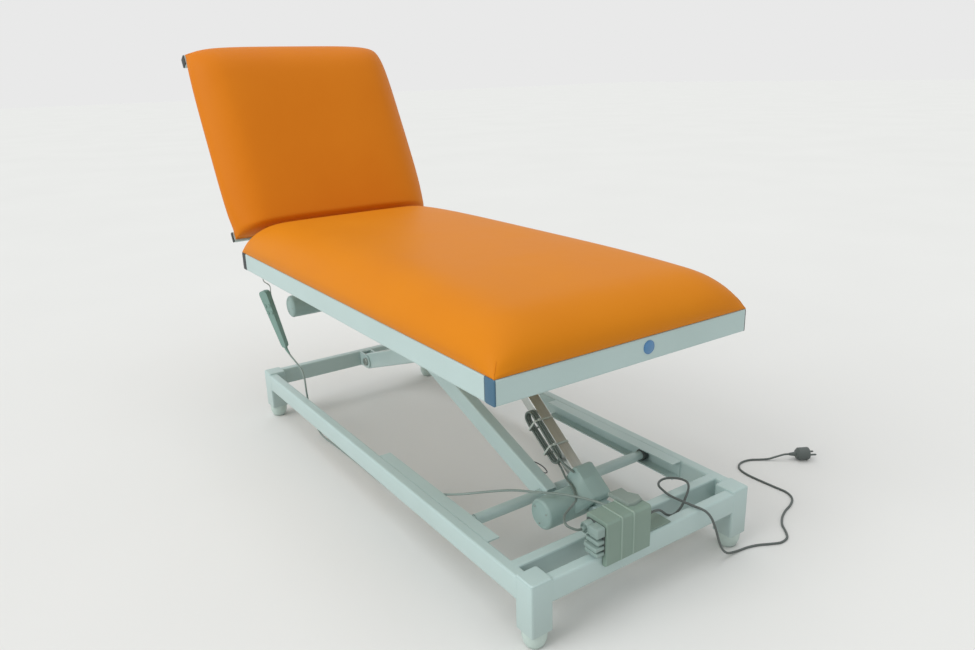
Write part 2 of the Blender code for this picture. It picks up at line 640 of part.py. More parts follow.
def cushion(length, width, long_cells, wide_cells):
    """Crowned pad about the origin: rounded edges, drawn-in sides and a pocket for its board."""
    edge = [0.0, 0.03, 0.13, 0.32, 0.62, 1.0]

    def lines(span, cells):
        low = [-span / 2 + PAD_ROUND * e for e in edge]
        inner = span - 2 * PAD_ROUND
        middle = [-inner / 2 + inner * i / cells for i in range(1, cells)]
        return low + middle + [-v for v in reversed(low)]

    def rise(distance):
        share = min(max(distance / PAD_ROUND, 0.0), 1.0)
        return (1 - (1 - share) ** 2.6) ** (1 / 2.6)

    xs = lines(length, long_cells)
    ys = lines(width, wide_cells)
    points = []
    for x in xs:
        for y in ys:
            height = PAD_THICK * rise(length / 2 - abs(x)) * rise(width / 2 - abs(y))
            height += PAD_CROWN * max(0.0, 1 - (2 * x / length) ** 4) * max(0.0, 1 - (2 * y / width) ** 2)
            draw_x = 1 - PAD_DRAW / (length / 2) * math.cos(math.pi * y / width)
            draw_y = 1 - PAD_DRAW / (width / 2) * math.cos(math.pi * x / length)
            points.append((x * draw_x, y * draw_y, height))
    rows, columns = len(xs), len(ys)
    faces = []
    for i in range(rows - 1):
        for j in range(columns - 1):
            here = i * columns + j
            faces.append((here, here + 1, here + columns + 1, here + columns))
    border = [j for j in range(columns)] + [i * columns + columns - 1 for i in range(1, rows)]
    border += [(rows - 1) * columns + j for j in range(columns - 2, -1, -1)]
    border += [i * columns for i in range(rows - 2, 0, -1)]

    inset = BOARD_INSET - 2 * SLIP
    in_x, in_y = length / 2 - inset, width / 2 - inset
    corners = ((-in_x, -in_y), (-in_x, in_y), (in_x, in_y), (in_x, -in_y))
    rim = len(points)
    points += [(x, y, z) for z in (0.0, BOARD_THICK + SLIP) for x, y in corners]
    begin = 0
    for corner, steps in enumerate((columns - 1, rows - 1, columns - 1, rows - 1)):
        here, there = rim + corner, rim + (corner + 1) % 4
        side = [border[(begin + i) % len(border)] for i in range(steps + 1)]
        half = steps // 2
        for i in range(steps):
            faces.append((side[i], side[i + 1], here if i < half else there))
        faces.append((side[half], there, here))
        faces.append((here, there, there + 4, here + 4))
        begin += steps
    faces.append(tuple(rim + 4 + i for i in range(4)))
    return points, faces


# Backrest

def make_backrest():
    """Hinge brackets on the bed, then the backrest's tubes with ears and lug, its board and pad."""
    hx, hz = HINGE
    thick = HINGE_PLATE
    face = HINGE_BACK - SLIP
    outline = [(face, -0.080), (face, -0.037), (0.011, 0.006)]
    outline += arc(0, 0, 0.013, 35, 215, 9) + [(-0.003, -0.033), (-0.003, -0.080)]
    cheek = plate(outline, arc(0, 0, EYE_PIN_R + SLIP, 0, 345, 24), (0, 0), thick)
    off = thick + SLIP
    back = prism(rounded(thick, 0.040, 0.001), 2 * off)
    for side, hand in (("left", -1), ("right", 1)):
        solids = [put(cheek, (hx, hand * HINGE_Y + s * off, hz)) for s in (-1, 1)]
        solids.append(put(back, (hx + face - thick / 2, hand * HINGE_Y, hz - 0.0585)))
        node("backrest_hinge_" + side, "frame_enamel", solids)

    hinge = axis("backrest_axis", (hx, 0, hz), BACK_ANGLE)
    size = BACK_TUBE
    level = -PAD_BELOW_HINGE - SLIP - size / 2
    first, last = 0.004, BACK_PAD_START + BACK_PAD_LENGTH - size
    cross = tube(BED_WIDTH - 2 * CAP, size, size, 0.003)
    flat = BACK_LOW_TUBE_H
    flat_level = -PAD_BELOW_HINGE - SLIP - flat / 2
    low_cross = tube(BED_WIDTH - 2 * CAP, size, flat, 0.003)
    flat_top, flat_low = flat_level + flat / 2 - 0.003, flat_level - flat / 2 + 0.003
    outline = [(-first - BITE, flat_top), (-first - BITE, flat_low), (0.012, flat_low)]
    outline += arc(0, 0, 0.012, 0, 180, 9) + [(-0.006, -0.012)]
    ear = prism(outline, thick)
    pin = bolt(HINGE_STACK, EYE_PIN_R, 0.010, 0.004)
    solids = [put(low_cross, (-(first + size / 2), 0, flat_level))]
    for hand in (-1, 1):
        solids += [put(ear, (0, hand * HINGE_Y, 0)), put(pin, (0, hand * HINGE_Y, 0))]
    node("backrest_tube_lower", "frame_enamel", solids, hinge)
    node("backrest_tube_upper", "frame_enamel", [put(cross, (-(last + size / 2), 0, level))], hinge)

    inner_y = BED_SIDE - BACK_SIDE_INSET
    run = last - first - size - 2 * SLIP
    side_tube = along_x(tube(run, BACK_SIDE_W, size, 0.003))
    middle = -(first + size + SLIP + run / 2)
    for side, hand in (("left", -1), ("right", 1)):
        placed = put(side_tube, (middle, hand * inner_y, level))
        node("backrest_tube_" + side, "frame_enamel", [placed], hinge)

    lug_bar = BACK_PIN_ALONG + 0.030
    ends = [(-(BACK_PIN_ALONG + s), -BACK_PIN_BELOW) for s in BACK_SLOT]
    centre = ((ends[0][0] + ends[1][0]) / 2, -BACK_PIN_BELOW)
    slot = capsule(ends[1], ends[0], EYE_PIN_R + SLOT_SIDE)
    wall_r = EYE_PIN_R + SLOT_SIDE + 0.007
    weld_x = -lug_bar - BITE
    rim = arc(ends[0][0], -BACK_PIN_BELOW, wall_r, -90, 90, 9)
    rim += [(weld_x, -BACK_PIN_BELOW + wall_r), (weld_x, -BACK_PIN_BELOW - wall_r)]
    ear = plate(rim, slot, centre, thick)
    off = 0.010 + 2 * SLIP + thick / 2
    bar = tube(2 * inner_y - BACK_SIDE_W - 2 * SLIP, size, size, 0.003)
    bar = put(bar, (-(lug_bar + size / 2), 0, level))
    ears = [put(ear, (0, BACK_ACT_Y + s * off, 0)) for s in (-1, 1)]
    node("backrest_tube_middle", "frame_enamel", [bar] + ears, hinge)

    board_mid = -(BACK_PAD_START + BACK_PAD_LENGTH / 2)
    under = -PAD_BELOW_HINGE
    board = along_x(prism(rounded(BED_WIDTH - 2 * BOARD_INSET, BOARD_THICK, 0.001),
                          BACK_PAD_LENGTH - 2 * BOARD_INSET))
    node("backrest_board", "plywood", [put(board, (board_mid, 0, under + BOARD_THICK / 2))], hinge)
    pad = cushion(BACK_PAD_LENGTH, BED_WIDTH, 8, 8)
    node("backrest_pad", "upholstery", [put(pad, (board_mid, 0, under))], hinge)


def make_backrest_actuator():
    """Drop bracket on the bed, then the gear housing on its trunnions, tube, motor and rod."""
    px, pz = BACK_PIVOT
    thick = 0.005
    half = 0.026
    rail_x = HEAD_X + BED_TUBE_W / 2
    top = BED_UNDER - SLIP
    outline = [(rail_x + 0.013, top), (rail_x - 0.013, top)] + arc(px, pz, 0.016, 165, 320, 11)
    cheek = plate(outline, arc(px, pz, PIN_R + SLIP, 0, 345, 24), (px, pz), thick)
    off = half + SLIP + thick / 2
    web = put(prism(rounded(0.022, 0.004, 0.001), 2 * off), (rail_x, BACK_ACT_Y, top - 0.004))
    cheeks = [put(cheek, (0, BACK_ACT_Y + s * off, 0)) for s in (-1, 1)]
    node("backrest_drop_bracket", "frame_enamel", cheeks + [web])

    turning = axis("backrest_actuator_axis", (px, BACK_ACT_Y, pz), BACK_ACT_ANGLE)
    motor_x = 0.055
    case = [(-0.030, 0.018), (-0.030, -0.018), (0.010, -0.022)] + arc(motor_x, 0, MOTOR_R, -110, 110, 13)
    case += [(0.010, 0.022)]
    trunnion = turned([(-half - thick, PIN_R), (half + thick, PIN_R)], 20)
    node("backrest_gearbox", "housing_grey", [prism(case, 2 * half), trunnion], turning)
    start = -0.030 - SLIP
    length = BACK_TUBE_END + start
    outer = put(along_x(tube(length, LIFT_TUBE, LIFT_TUBE, 0.003)), (start - length / 2, 0, 0))
    wiper = put(along_x(ring(LIFT_TUBE / 2 - BITE, ROD_R + SLIP, 0.012)), (-BACK_TUBE_END + 0.007, 0, 0))
    node("backrest_outer_tube", "bright_tube", [outer, wiper], turning)

    near = -half - SLIP
    far = -0.105
    motor = [(far, 0.018), (far, MOTOR_R - 0.005), (far + 0.0025, MOTOR_R - 0.0015), (far + 0.006, MOTOR_R),
             (near, MOTOR_R)]
    node("backrest_motor", "housing_grey", [put(turned(motor, 24), (motor_x, 0, 0))], turning)

    rod_start = BACK_TUBE_END - BACK_ROD_INSIDE
    rod_end = BACK_ACT_LENGTH - EYE_R + 0.001
    span = rod_end - rod_start
    bar = along_x(turned([(-span / 2, ROD_R), (span / 2, ROD_R)], 20))
    bar = put(bar, (-(rod_start + rod_end) / 2, 0, 0))
    pin_half = 0.010 + thick + 3 * SLIP
    eye = [(-pin_half - 0.004, 0.010), (-pin_half, 0.010), (-pin_half, EYE_PIN_R), (-0.010, EYE_PIN_R),
           (-0.010, EYE_R)]
    eye += [(-y, r) for y, r in reversed(eye)]
    node("backrest_rod", "zinc_steel", [bar, put(turned(eye, 20), (-BACK_ACT_LENGTH, 0, 0))], turning)


# Control box, handset and cords

def make_control_box():
    """Ribbed box hooked over the foot crossbar, its plate, plugs and the mains strain relief."""
    front = FOOT_X + BOX_FRONT
    back = FOOT_X + BOX_BACK
    lip = BASE_FOOT + SLIP
    seat = BASE_TOP + SLIP
    low, high = BASE_TOP - BOX_SKIRT, BASE_TOP + BOX_RISE
    r = 0.004
    shape = [(lip, low), (front - r, low), (front, low + r), (front, high - r), (front - r, high),
             (back + r, high), (back, high - r), (back, seat), (lip, seat)]
    depth = BOX_Y[1] - BOX_Y[0]
    middle = (BOX_Y[0] + BOX_Y[1]) / 2
    ledge = prism([(INNER_BAR_X + 0.004, seat), (lip - 0.004, seat), (lip - 0.004, seat + 0.003),
                   (INNER_BAR_X + 0.004, seat + 0.003)], 0.080)
    node("control_box", "box_grey", [put(prism(shape, depth), (0, middle, 0)), put(ledge, (0, 0.020, 0))])

    plug_side = [(-0.001, 0.0075), (-0.008, 0.0075), (-0.008, 0.009), (-0.022, 0.009), (-0.024, 0.006)]
    plug = turned(plug_side, 14)
    face = BOX_Y[0] - SLIP
    socket_at = (back + 0.0285, face - 0.001, BASE_TOP + sum(PLUG_RISE) / 2)
    socket = put(prism(rounded(0.050, 0.060, 0.004), 0.002), socket_at)
    spots = [(back + x, BASE_TOP + z) for x in (0.016, 0.041) for z in PLUG_RISE]
    node("control_box_plugs", "housing_grey", [socket] + [put(plug, (x, face, z)) for x, z in spots])

    relief = turned([(0, 0.0075), (0.004, 0.0075), (0.004, 0.0062), (0.034, MAINS_R + 0.0008)], 20)
    relief_at = (FOOT_X + MAINS_EXIT[0], BOX_Y[1] + SLIP, MAINS_EXIT[2])
    node("mains_strain_relief", "cord_grey", [put(relief, relief_at)])


def make_handset():
    """Wire hook under the left rail, the handset that hangs on it, and four push buttons."""
    top, low = Vector(HANDSET_TOP), Vector(HANDSET_LOW)
    drop = low - top
    length = drop.length
    lean_in = math.atan2(drop.y, -drop.z)
    lean_foot = -math.asin(drop.x / length)
    hang = bpy.data.objects.new("handset_axis", None)
    hang.location = top
    hang.rotation_mode = "ZXY"
    hang.rotation_euler = (lean_in, lean_foot, HANDSET_TURN)
    bpy.context.scene.collection.objects.link(hang)

    wide, thick = HANDSET_WIDE, HANDSET_THICK
    narrow = HANDSET_LOW_WIDE / wide
    side = [(x if z > 0 else x * narrow, z - length / 2) for x, z in rounded(wide, length, 0.010)]
    button_r, travel, well = 0.0048, 0.0015, 0.007
    spots = [(x, -0.045 - 0.022 * row) for row in (0, 1) for x in (-0.0078, 0.0078)]
    hollow = turned([(-0.003, button_r + 2 * SLIP), (well, button_r + 2 * SLIP)], 20)
    wells = [put(hollow, (x, -thick / 2, z)) for x, z in spots]
    node("handset_shell", "handset_grey", [prism(side, thick)], hang, wells)
    for number, (x, z) in enumerate(spots, 1):
        face = -thick / 2
        key = turned([(face - 0.002, button_r - 0.001), (face - 0.001, button_r),
                      (face + well - travel - 2 * SLIP, button_r)], 20)
        node("handset_button_%d" % number, "button_pale", [put(key, (x, 0, z))], hang)

    wire = 0.0015
    out = hang.rotation_euler.to_matrix() @ Vector((0, 1, 0))
    hook_x, hook_y = top.x + 0.010, -BED_SIDE + 0.020

    def behind(below, away=SLIP):
        """Point of the wire behind the handset's back face, at a depth below its top."""
        clear = thick / 2 + wire + away
        return hook_x, top.y + (clear - out.x * (hook_x - top.x) + out.z * below) / out.y, top.z - below

    route = [(hook_x, hook_y, BED_UNDER - SLIP), (hook_x, hook_y, BED_UNDER - 0.020),
             behind(-0.014, 0.003), behind(0.010), behind(0.024), behind(0.038)]
    cord("handset_hook", "zinc_steel", route, wire, 18)


def smooth_route(route, count):
    """Points at even steps along a smooth curve through the route's points."""
    stops = [Vector(p) for p in route]
    stops = [2 * stops[0] - stops[1]] + stops + [2 * stops[-1] - stops[-2]]
    fine = []
    for a, b, c, d in zip(stops, stops[1:], stops[2:], stops[3:]):
        for step in range(24):
            t = step / 24
            fine.append(0.5 * (2 * b + (c - a) * t + (2 * a - 5 * b + 4 * c - d) * t ** 2
                               + (3 * b - a - 3 * c + d) * t ** 3))
    fine.append(stops[-2])
    marks = [0.0]
    for p, q in zip(fine, fine[1:]):
        marks.append(marks[-1] + (q - p).length)
    points = []
    index = 0
    for i in range(count):
        goal = marks[-1] * i / (count - 1)
        while index < len(marks) - 2 and marks[index + 1] < goal:
            index += 1
        span = marks[index + 1] - marks[index]
        points.append(fine[index].lerp(fine[index + 1], (goal - marks[index]) / span if span else 0.0))
    return points, marks[-1]


def from_foot(route):
    """Route points with x measured from the foot end of the bed, in the frame."""
    return [(FOOT_X + x, y, z) for x, y, z in route]


def cord(name, look, route, radius, count, roundness=2):
    """Round tube along a smooth route, as a bevelled curve with filled ends."""
    points, length = smooth_route(route, count)
    for place in points:
        place.z = max(place.z, radius + SLIP)
    curve = bpy.data.curves.new(name, "CURVE")
    curve.dimensions = "3D"
    curve.bevel_depth = radius
    curve.bevel_resolution = roundness
    curve.use_fill_caps = True
    spline = curve.splines.new("POLY")
    spline.points.add(len(points) - 1)
    for spot, place in zip(spline.points, points):
        spot.co = (*place, 1.0)
    curve.materials.append(finish(look))
    made = bpy.data.objects.new(name, curve)
    bpy.context.scene.collection.objects.link(made)
    print(name, "length %.3f m" % length)
    return points


FLOOR_MAINS = MAINS_R + SLIP
FLOOR_LEAD = LEAD_R + SLIP
BAR_TOP = BASE_TOP + MAINS_R + SLIP
MAINS_EXIT = (0.038, BOX_Y[1] + 2 * SLIP + 0.034, BASE_TOP + MAINS_EXIT_RISE)
HANDSET_TOP = (HEAD_X + HANDSET_TOP_IN, -BED_SIDE + HANDSET_TOP_SIDE, BED_UNDER - HANDSET_TOP_DROP)
HANDSET_LOW = (HEAD_X + HANDSET_LOW_IN, -BED_SIDE + HANDSET_LOW_SIDE, BED_UNDER - HANDSET_LOW_DROP)

MAINS_ROUTE = [
    MAINS_EXIT, (0.038, 0.0265, 0.172), (0.0375, 0.034, 0.1715), (0.0350, 0.052, 0.1645),
    (0.0250, 0.083, 0.1385), (0.0155, 0.114, 0.1225), (0.0105, 0.142, 0.1275), (0.0045, 0.1640, 0.1450),
    (-0.0050, 0.1810, 0.1555), (-0.0195, 0.1915, 0.1580), (-0.0375, 0.1940, 0.1560),
    (-0.0540, 0.1870, 0.1540), (-0.0640, 0.1720, 0.1535), (-0.0632, 0.1533, 0.1530),
    (-0.0520, 0.1388, 0.1530), (-0.0350, 0.1322, 0.1525), (-0.0130, 0.1315, BAR_TOP + 0.001),
    (0.015, 0.134, BAR_TOP + 0.001), (0.043, 0.139, BAR_TOP + SLIP),
    (0.0610, 0.1428, BAR_TOP + SLIP), (0.0735, 0.1465, 0.1452), (0.0825, 0.1512, 0.1353),
    (0.0865, 0.1580, 0.1180), (0.0860, 0.170, 0.0910), (0.0820, 0.186, 0.0600), (0.0770, 0.205, 0.0330),
    (0.0730, 0.226, 0.0145), (0.0710, 0.250, 0.0060), (0.0720, 0.274, FLOOR_MAINS),
    (0.0760, 0.298, FLOOR_MAINS), (0.084, 0.321, FLOOR_MAINS), (0.096, 0.343, FLOOR_MAINS),
    (0.107, 0.368, FLOOR_MAINS), (0.1035, 0.394, FLOOR_MAINS), (0.086, 0.413, FLOOR_MAINS),
    (0.064, 0.431, FLOOR_MAINS), (0.046, 0.456, FLOOR_MAINS), (0.032, 0.487, FLOOR_MAINS),
    (0.022, 0.522, FLOOR_MAINS), (0.006, 0.550, FLOOR_MAINS), (-0.02, 0.564, FLOOR_MAINS),
    (-0.055, 0.563, FLOOR_MAINS), (-0.1, 0.561, FLOOR_MAINS), (-0.14, 0.562, FLOOR_MAINS),
    (-0.1705, 0.573, FLOOR_MAINS), (-0.1865, 0.599, FLOOR_MAINS), (-0.184, 0.630, FLOOR_MAINS),
    (-0.169, 0.655, FLOOR_MAINS), (-0.1545, 0.673, 0.0050), (-0.1425, 0.6905, 0.0110),
    (-0.1320, 0.7050, 0.0165), (-0.1280, 0.7112, 0.0175), (-0.1235, 0.7185, 0.0175),
]
HANDSET_ROUTE = [
    (-1.1675, -0.2665, 0.2485), (-1.152, -0.262, 0.232), (-1.122, -0.259, 0.220), (-1.086, -0.258, 0.207),
    (-1.067, -0.258, 0.184), (-1.062, -0.258, 0.145), (-1.058, -0.255, 0.100), (-1.052, -0.247, 0.050),
    (-1.035, -0.237, 0.014), (-1, -0.230, FLOOR_LEAD), (-0.93, -0.226, FLOOR_LEAD),
    (-0.84, -0.223, FLOOR_LEAD), (-0.74, -0.222, FLOOR_LEAD), (-0.64, -0.224, 0.010), (-0.54, -0.222, 0.034),
    (-0.426, -0.231, 0.0870), (-0.3313, -0.2395, 0.1349), (-0.2605, -0.2345, 0.1669),
    (-0.2200, -0.2020, 0.1790), (-0.1820, -0.163, 0.1867), (-0.145, -0.128, 0.187),
    (-0.098, -0.085, 0.187), (-0.048, -0.052, 0.184),
    (-0.01, -0.040, 0.183), (BOX_BACK - SLIP, -0.038, 0.183),
]
BACKREST_ROUTE = [
    (-1.2885, BACK_ACT_Y, 0.3970), (-1.2765, -0.0965, 0.4015), (-1.2670, -0.106, 0.4050),
    (-1.2640, -0.122, 0.4120), (-1.2680, -0.138, 0.4260), (-1.2755, -0.147, 0.4450),
    (-1.2795, -0.150, 0.4640), (-1.2800, -0.150, BED_UNDER - SLIP),
]
LIFT_LEAD_START = (BOX_BACK + 0.016, BOX_Y[0] - SLIP - 0.0245, 0.198)


def make_lift_lead():
    """Lead from a plug to the actuator, tied along its tube as a hank of long loops."""
    pitch, bend = 0.0058, 0.0165
    near, far = 0.155, 0.255
    first_y = -LIFT_TUBE / 2 - LEAD_R - 2 * SLIP
    place = bpy.data.objects["lift_actuator_axis"]
    world = Matrix.Translation(place.location) @ place.rotation_euler.to_matrix().to_4x4()
    straight = far - near
    around = 2 * straight + 2 * math.pi * bend
    turns = 3 - math.pi * bend / around
    steps = int(24 * turns)
    hank = []
    for i in range(steps + 1):
        turn = turns * i / steps
        way = turn % 1.0 * around
        if way < straight:
            x, z = near + way, -bend
        elif way < straight + math.pi * bend:
            a = (way - straight) / bend - math.pi / 2
            x, z = far + bend * math.cos(a), bend * math.sin(a)
        elif way < 2 * straight + math.pi * bend:
            x, z = far - (way - straight - math.pi * bend), bend
        else:
            a = (way - 2 * straight - math.pi * bend) / bend + math.pi / 2
            x, z = near + bend * math.cos(a), bend * math.sin(a)
        hank.append((-x, first_y - pitch * turn, z))
    last_y = first_y - pitch * turns
    lead_in = [(-0.040, -0.060, 0.030), (-0.070, -0.042, 0.0145), (-0.100, -0.027, -0.009)]
    lead_in.append((-0.128, first_y, -bend))
    lead_out = [(-0.128, last_y + 0.003, bend + 0.0006), (-0.112, -0.0265, 0.0182)]
    lead_out.append((-0.098, -0.018 - LEAD_R, 0.019))
    start = from_foot([LIFT_LEAD_START, (0.0290, -0.168, 0.201), (0.0145, -0.179, 0.208),
                       (-0.006, -0.166, 0.2125), (-0.036, -0.118, 0.207)])
    route = start + [tuple(world @ Vector(p)) for p in lead_in + hank + lead_out]
    points = cord("lift_lead", "cord_grey", route, LEAD_R, 125, 1)
    least = min((p - q).length for i, p in enumerate(points) for q in points[i + 6:])
    print("lift_lead least gap to itself %.4f m" % (least - 2 * LEAD_R))


def make_plug():
    """Round two-pin plug at the end of the mains lead, lying on the floor."""
    before, end = [Vector(p) for p in from_foot(MAINS_ROUTE[-2:])]
    way = end - before
    heading = math.atan2(way.y, way.x)
    shell = [(0.0, MAINS_R + 0.001), (0.016, 0.006), (0.018, 0.011), (0.024, 0.0165), (0.050, 0.017),
            (0.052, 0.016)]
    pin = [(0.0, 0.0024), (0.017, 0.0024), (0.019, 0.0015)]
    solids = [turned(shell, 24)]
    for side in (-1, 1):
        solids.append(put(turned(pin, 12), (side * 0.0095, 0.051, 0)))
    turn = math.degrees(heading) - 90
    start = (end.x + SLIP * math.cos(heading), end.y + SLIP * math.sin(heading), end.z)
    node("mains_plug", "cord_grey", [put(solid, start, (turn, "Z")) for solid in solids])


make_base()
make_base_brackets()
make_arms()
make_lift_actuator()
make_bed()
make_backrest()
make_backrest_actuator()
make_control_box()
make_handset()
cord("mains_lead", "cord_grey", from_foot(MAINS_ROUTE), MAINS_R, 74)
cord("handset_lead", "cord_grey", from_foot(HANDSET_ROUTE), LEAD_R, 60)
cord("backrest_lead", "cord_grey", from_foot(BACKREST_ROUTE), LEAD_R, 15)
make_lift_lead()
make_plug()
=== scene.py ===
"""Looks of the electric examination couch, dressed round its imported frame.
Metres, +Z up, +X to the foot end."""

import json
import math

import bmesh
import bpy
import numpy as np
from mathutils import Matrix

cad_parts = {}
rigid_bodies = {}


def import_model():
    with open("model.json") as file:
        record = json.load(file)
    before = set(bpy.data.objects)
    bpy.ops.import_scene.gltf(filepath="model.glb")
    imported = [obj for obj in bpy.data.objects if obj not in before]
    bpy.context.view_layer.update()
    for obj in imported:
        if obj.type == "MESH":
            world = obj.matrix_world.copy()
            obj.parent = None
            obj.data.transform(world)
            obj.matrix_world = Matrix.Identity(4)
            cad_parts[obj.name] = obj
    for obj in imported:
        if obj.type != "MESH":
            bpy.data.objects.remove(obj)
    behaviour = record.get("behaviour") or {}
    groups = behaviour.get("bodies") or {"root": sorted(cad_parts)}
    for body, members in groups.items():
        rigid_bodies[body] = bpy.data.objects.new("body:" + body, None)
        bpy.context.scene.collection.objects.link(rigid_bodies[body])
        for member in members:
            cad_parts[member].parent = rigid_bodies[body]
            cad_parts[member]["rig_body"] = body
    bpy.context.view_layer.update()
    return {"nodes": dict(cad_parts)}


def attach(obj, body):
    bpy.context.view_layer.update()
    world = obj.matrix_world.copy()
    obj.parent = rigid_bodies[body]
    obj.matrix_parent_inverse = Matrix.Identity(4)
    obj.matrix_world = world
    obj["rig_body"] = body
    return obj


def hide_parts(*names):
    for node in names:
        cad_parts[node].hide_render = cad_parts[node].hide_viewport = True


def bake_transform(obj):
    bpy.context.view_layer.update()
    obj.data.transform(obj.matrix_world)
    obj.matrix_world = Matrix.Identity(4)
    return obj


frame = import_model()
nodes = frame["nodes"]

# Places repeated from the part's source
SLIP = 0.0003
FOOT_X = 0.7995
HEAD_X = -0.4955
BED_TOP = 0.5305
BED_MID = 0.5055
HINGE = (-0.5265, 0.0, 0.566)
BACK_ANGLE = math.radians(62.0)
LIFT_PIVOT = (0.7195, 0.0, 0.123)
LIFT_ANGLE = math.radians(36.43)
BACK_PIVOT = (-0.5105, -0.095, 0.390)
BACK_ACT_ANGLE = math.atan2(0.88768, 0.46046)
MAINS_R = 0.0026
LEAD_R = 0.0025
BASE_SIDE = 0.2855
BASE_MID = 0.120
BOX_LEFT = -0.130
ARM_MIDDLE = (-0.4365 + 1.016 / 2, (0.1225 + 0.487) / 2)
LIFT_MOTOR = (-0.0515, -0.0194)
BACK_MOTOR = (0.055, 0.0)


# Camera

# Yaw, pitch and roll in radians
CAMERA_TURN = (0.5966683, 0.3114668, -0.0282901)
CAMERA_PLACE = (1.806475, -1.018587, 1.021897)
FOCAL_PIXELS = 790.0748
PICTURE_WIDTH = 975.0
SENSOR_WIDTH = 36.0


def photograph_camera():
    """Camera at the photograph's place: a level look turned by yaw, tipped down by pitch, then rolled."""
    yaw, pitch, roll = CAMERA_TURN
    ahead = np.array((-math.cos(yaw) * math.cos(pitch), math.sin(yaw) * math.cos(pitch), -math.sin(pitch)))
    right = np.array((math.sin(yaw), math.cos(yaw), 0.0))
    up = np.cross(right, ahead)
    across = math.cos(roll) * right + math.sin(roll) * up
    above = math.cos(roll) * up - math.sin(roll) * right
    lens = bpy.data.cameras.new("photograph_camera")
    lens.sensor_fit = "HORIZONTAL"
    lens.sensor_width = SENSOR_WIDTH
    lens.lens = FOCAL_PIXELS * SENSOR_WIDTH / PICTURE_WIDTH
    lens.clip_end = 200.0
    made = bpy.data.objects.new("photograph_camera", lens)
    place = np.eye(4)
    place[:3, :3] = np.stack([across, above, -ahead], axis=1)
    place[:3, 3] = CAMERA_PLACE
    made.matrix_world = Matrix(place.tolist())
    bpy.context.scene.collection.objects.link(made)
    bpy.context.scene.camera = made


photograph_camera()


# Surfaces

SHARP_ANGLE = math.radians(38)


def grid_faces(rows, columns, closed):
    """Quads between neighbours of a grid; closed joins its last column to its first."""
    index = np.arange(rows * columns).reshape(rows, columns)
    after = np.roll(index, -1, axis=1)
    last = columns if closed else columns - 1
    quads = np.stack([index[:-1, :last], after[:-1, :last], after[1:, :last], index[1:, :last]], axis=-1)
    return quads.reshape(-1, 4).tolist()


def loft(loops):
    """Closed loops of equal count, one row each, skinned in order and closed by a flat face at each end."""
    rows, columns = loops.shape[:2]
    ends = [list(range(columns)), list(range((rows - 1) * columns, rows * columns))]
    return loops.reshape(-1, 3), grid_faces(rows, columns, True) + ends


def axes(turn):
    """Columns of a turn about Y: what a piece's own x, y and z become in the frame."""
    c, s = math.cos(turn), math.sin(turn)
    return np.array(((c, 0.0, s), (0.0, 1.0, 0.0), (-s, 0.0, c)))


def placed(shape, origin, turn=0.0):
    """Shape turned about Y, then moved to its origin."""
    points, faces = shape
    return points @ axes(turn).T + np.array(origin), faces


def facing(shape, towards):
    """Shape made along +Z, with its z laid along one of the frame's directions."""
    points, faces = shape
    lay = {"-y": ((1, 0, 0), (0, 0, 1), (0, -1, 0)), "+y": ((1, 0, 0), (0, 0, -1), (0, 1, 0)),
           "+x": ((0, 1, 0), (0, 0, 1), (1, 0, 0))}[towards]
    return points @ np.array(lay, float), faces


def outline(width, height, corner, steps=6):
    """Rectangle with round corners: a quarter circle of each corner's centre, one after the other."""
    sweep = np.linspace(0.0, math.pi / 2, steps)
    angles = (sweep[None, :] + math.pi / 2 * np.arange(4)[:, None]).ravel()
    side_x = np.repeat((1, -1, -1, 1), steps) * (width / 2 - corner)
    side_y = np.repeat((1, 1, -1, -1), steps) * (height / 2 - corner)
    return np.stack([side_x + corner * np.cos(angles), side_y + corner * np.sin(angles)], axis=1)


def moulded(rim, steps):
    """Rim drawn in by an inset at each height: each loop is the rim scaled about its centre."""
    reach = np.abs(rim).max(axis=0)
    loops = [np.column_stack([rim * (1 - inset / reach), np.full(len(rim), height)])
             for inset, height in steps]
    return loft(np.array(loops))


def turned(profile, around=28):
    """Profile of (radius, height) pairs carried round the z axis."""
    angles = np.linspace(0.0, 2 * math.pi, around, endpoint=False)
    radius, height = np.array(profile, float).T
    ring = np.stack([np.cos(angles), np.sin(angles)], axis=1)
    loops = np.concatenate([radius[:, None, None] * ring[None], np.broadcast_to(
        height[:, None, None], (len(radius), around, 1))], axis=2)
    return loft(loops)


def hexagon(across_flats, height):
    """Six-sided nut: two flats' rims with a small chamfer at the outer edge."""
    angles = np.linspace(0.0, 2 * math.pi, 6, endpoint=False)
    rim = across_flats / math.sqrt(3) * np.stack([np.cos(angles), np.sin(angles)], axis=1)
    return moulded(rim, ((0, 0), (0, height * 0.8), (across_flats * 0.06, height)))


def smooth_route(stops, count):
    """Curve through every stop, cubic between neighbours, read at even steps of its length."""
    given = np.array(stops, float)
    given = np.vstack([2 * given[0] - given[1], given, 2 * given[-1] - given[-2]])
    a, b, c, d = given[:-3], given[1:-2], given[2:-1], given[3:]
    t = np.linspace(0.0, 1.0, 24, endpoint=False)[:, None, None]
    fine = 0.5 * (2 * b + (c - a) * t + (2 * a - 5 * b + 4 * c - d) * t ** 2
                  + (3 * b - a - 3 * c + d) * t ** 3)
    fine = np.vstack([fine.transpose(1, 0, 2).reshape(-1, 3), given[-2]])
    marks = np.concatenate([[0.0], np.cumsum(np.linalg.norm(np.diff(fine, axis=0), axis=1))])
    even = np.linspace(0.0, marks[-1], count)
    return np.stack([np.interp(even, marks, fine[:, k]) for k in range(3)], axis=1), float(marks[-1])


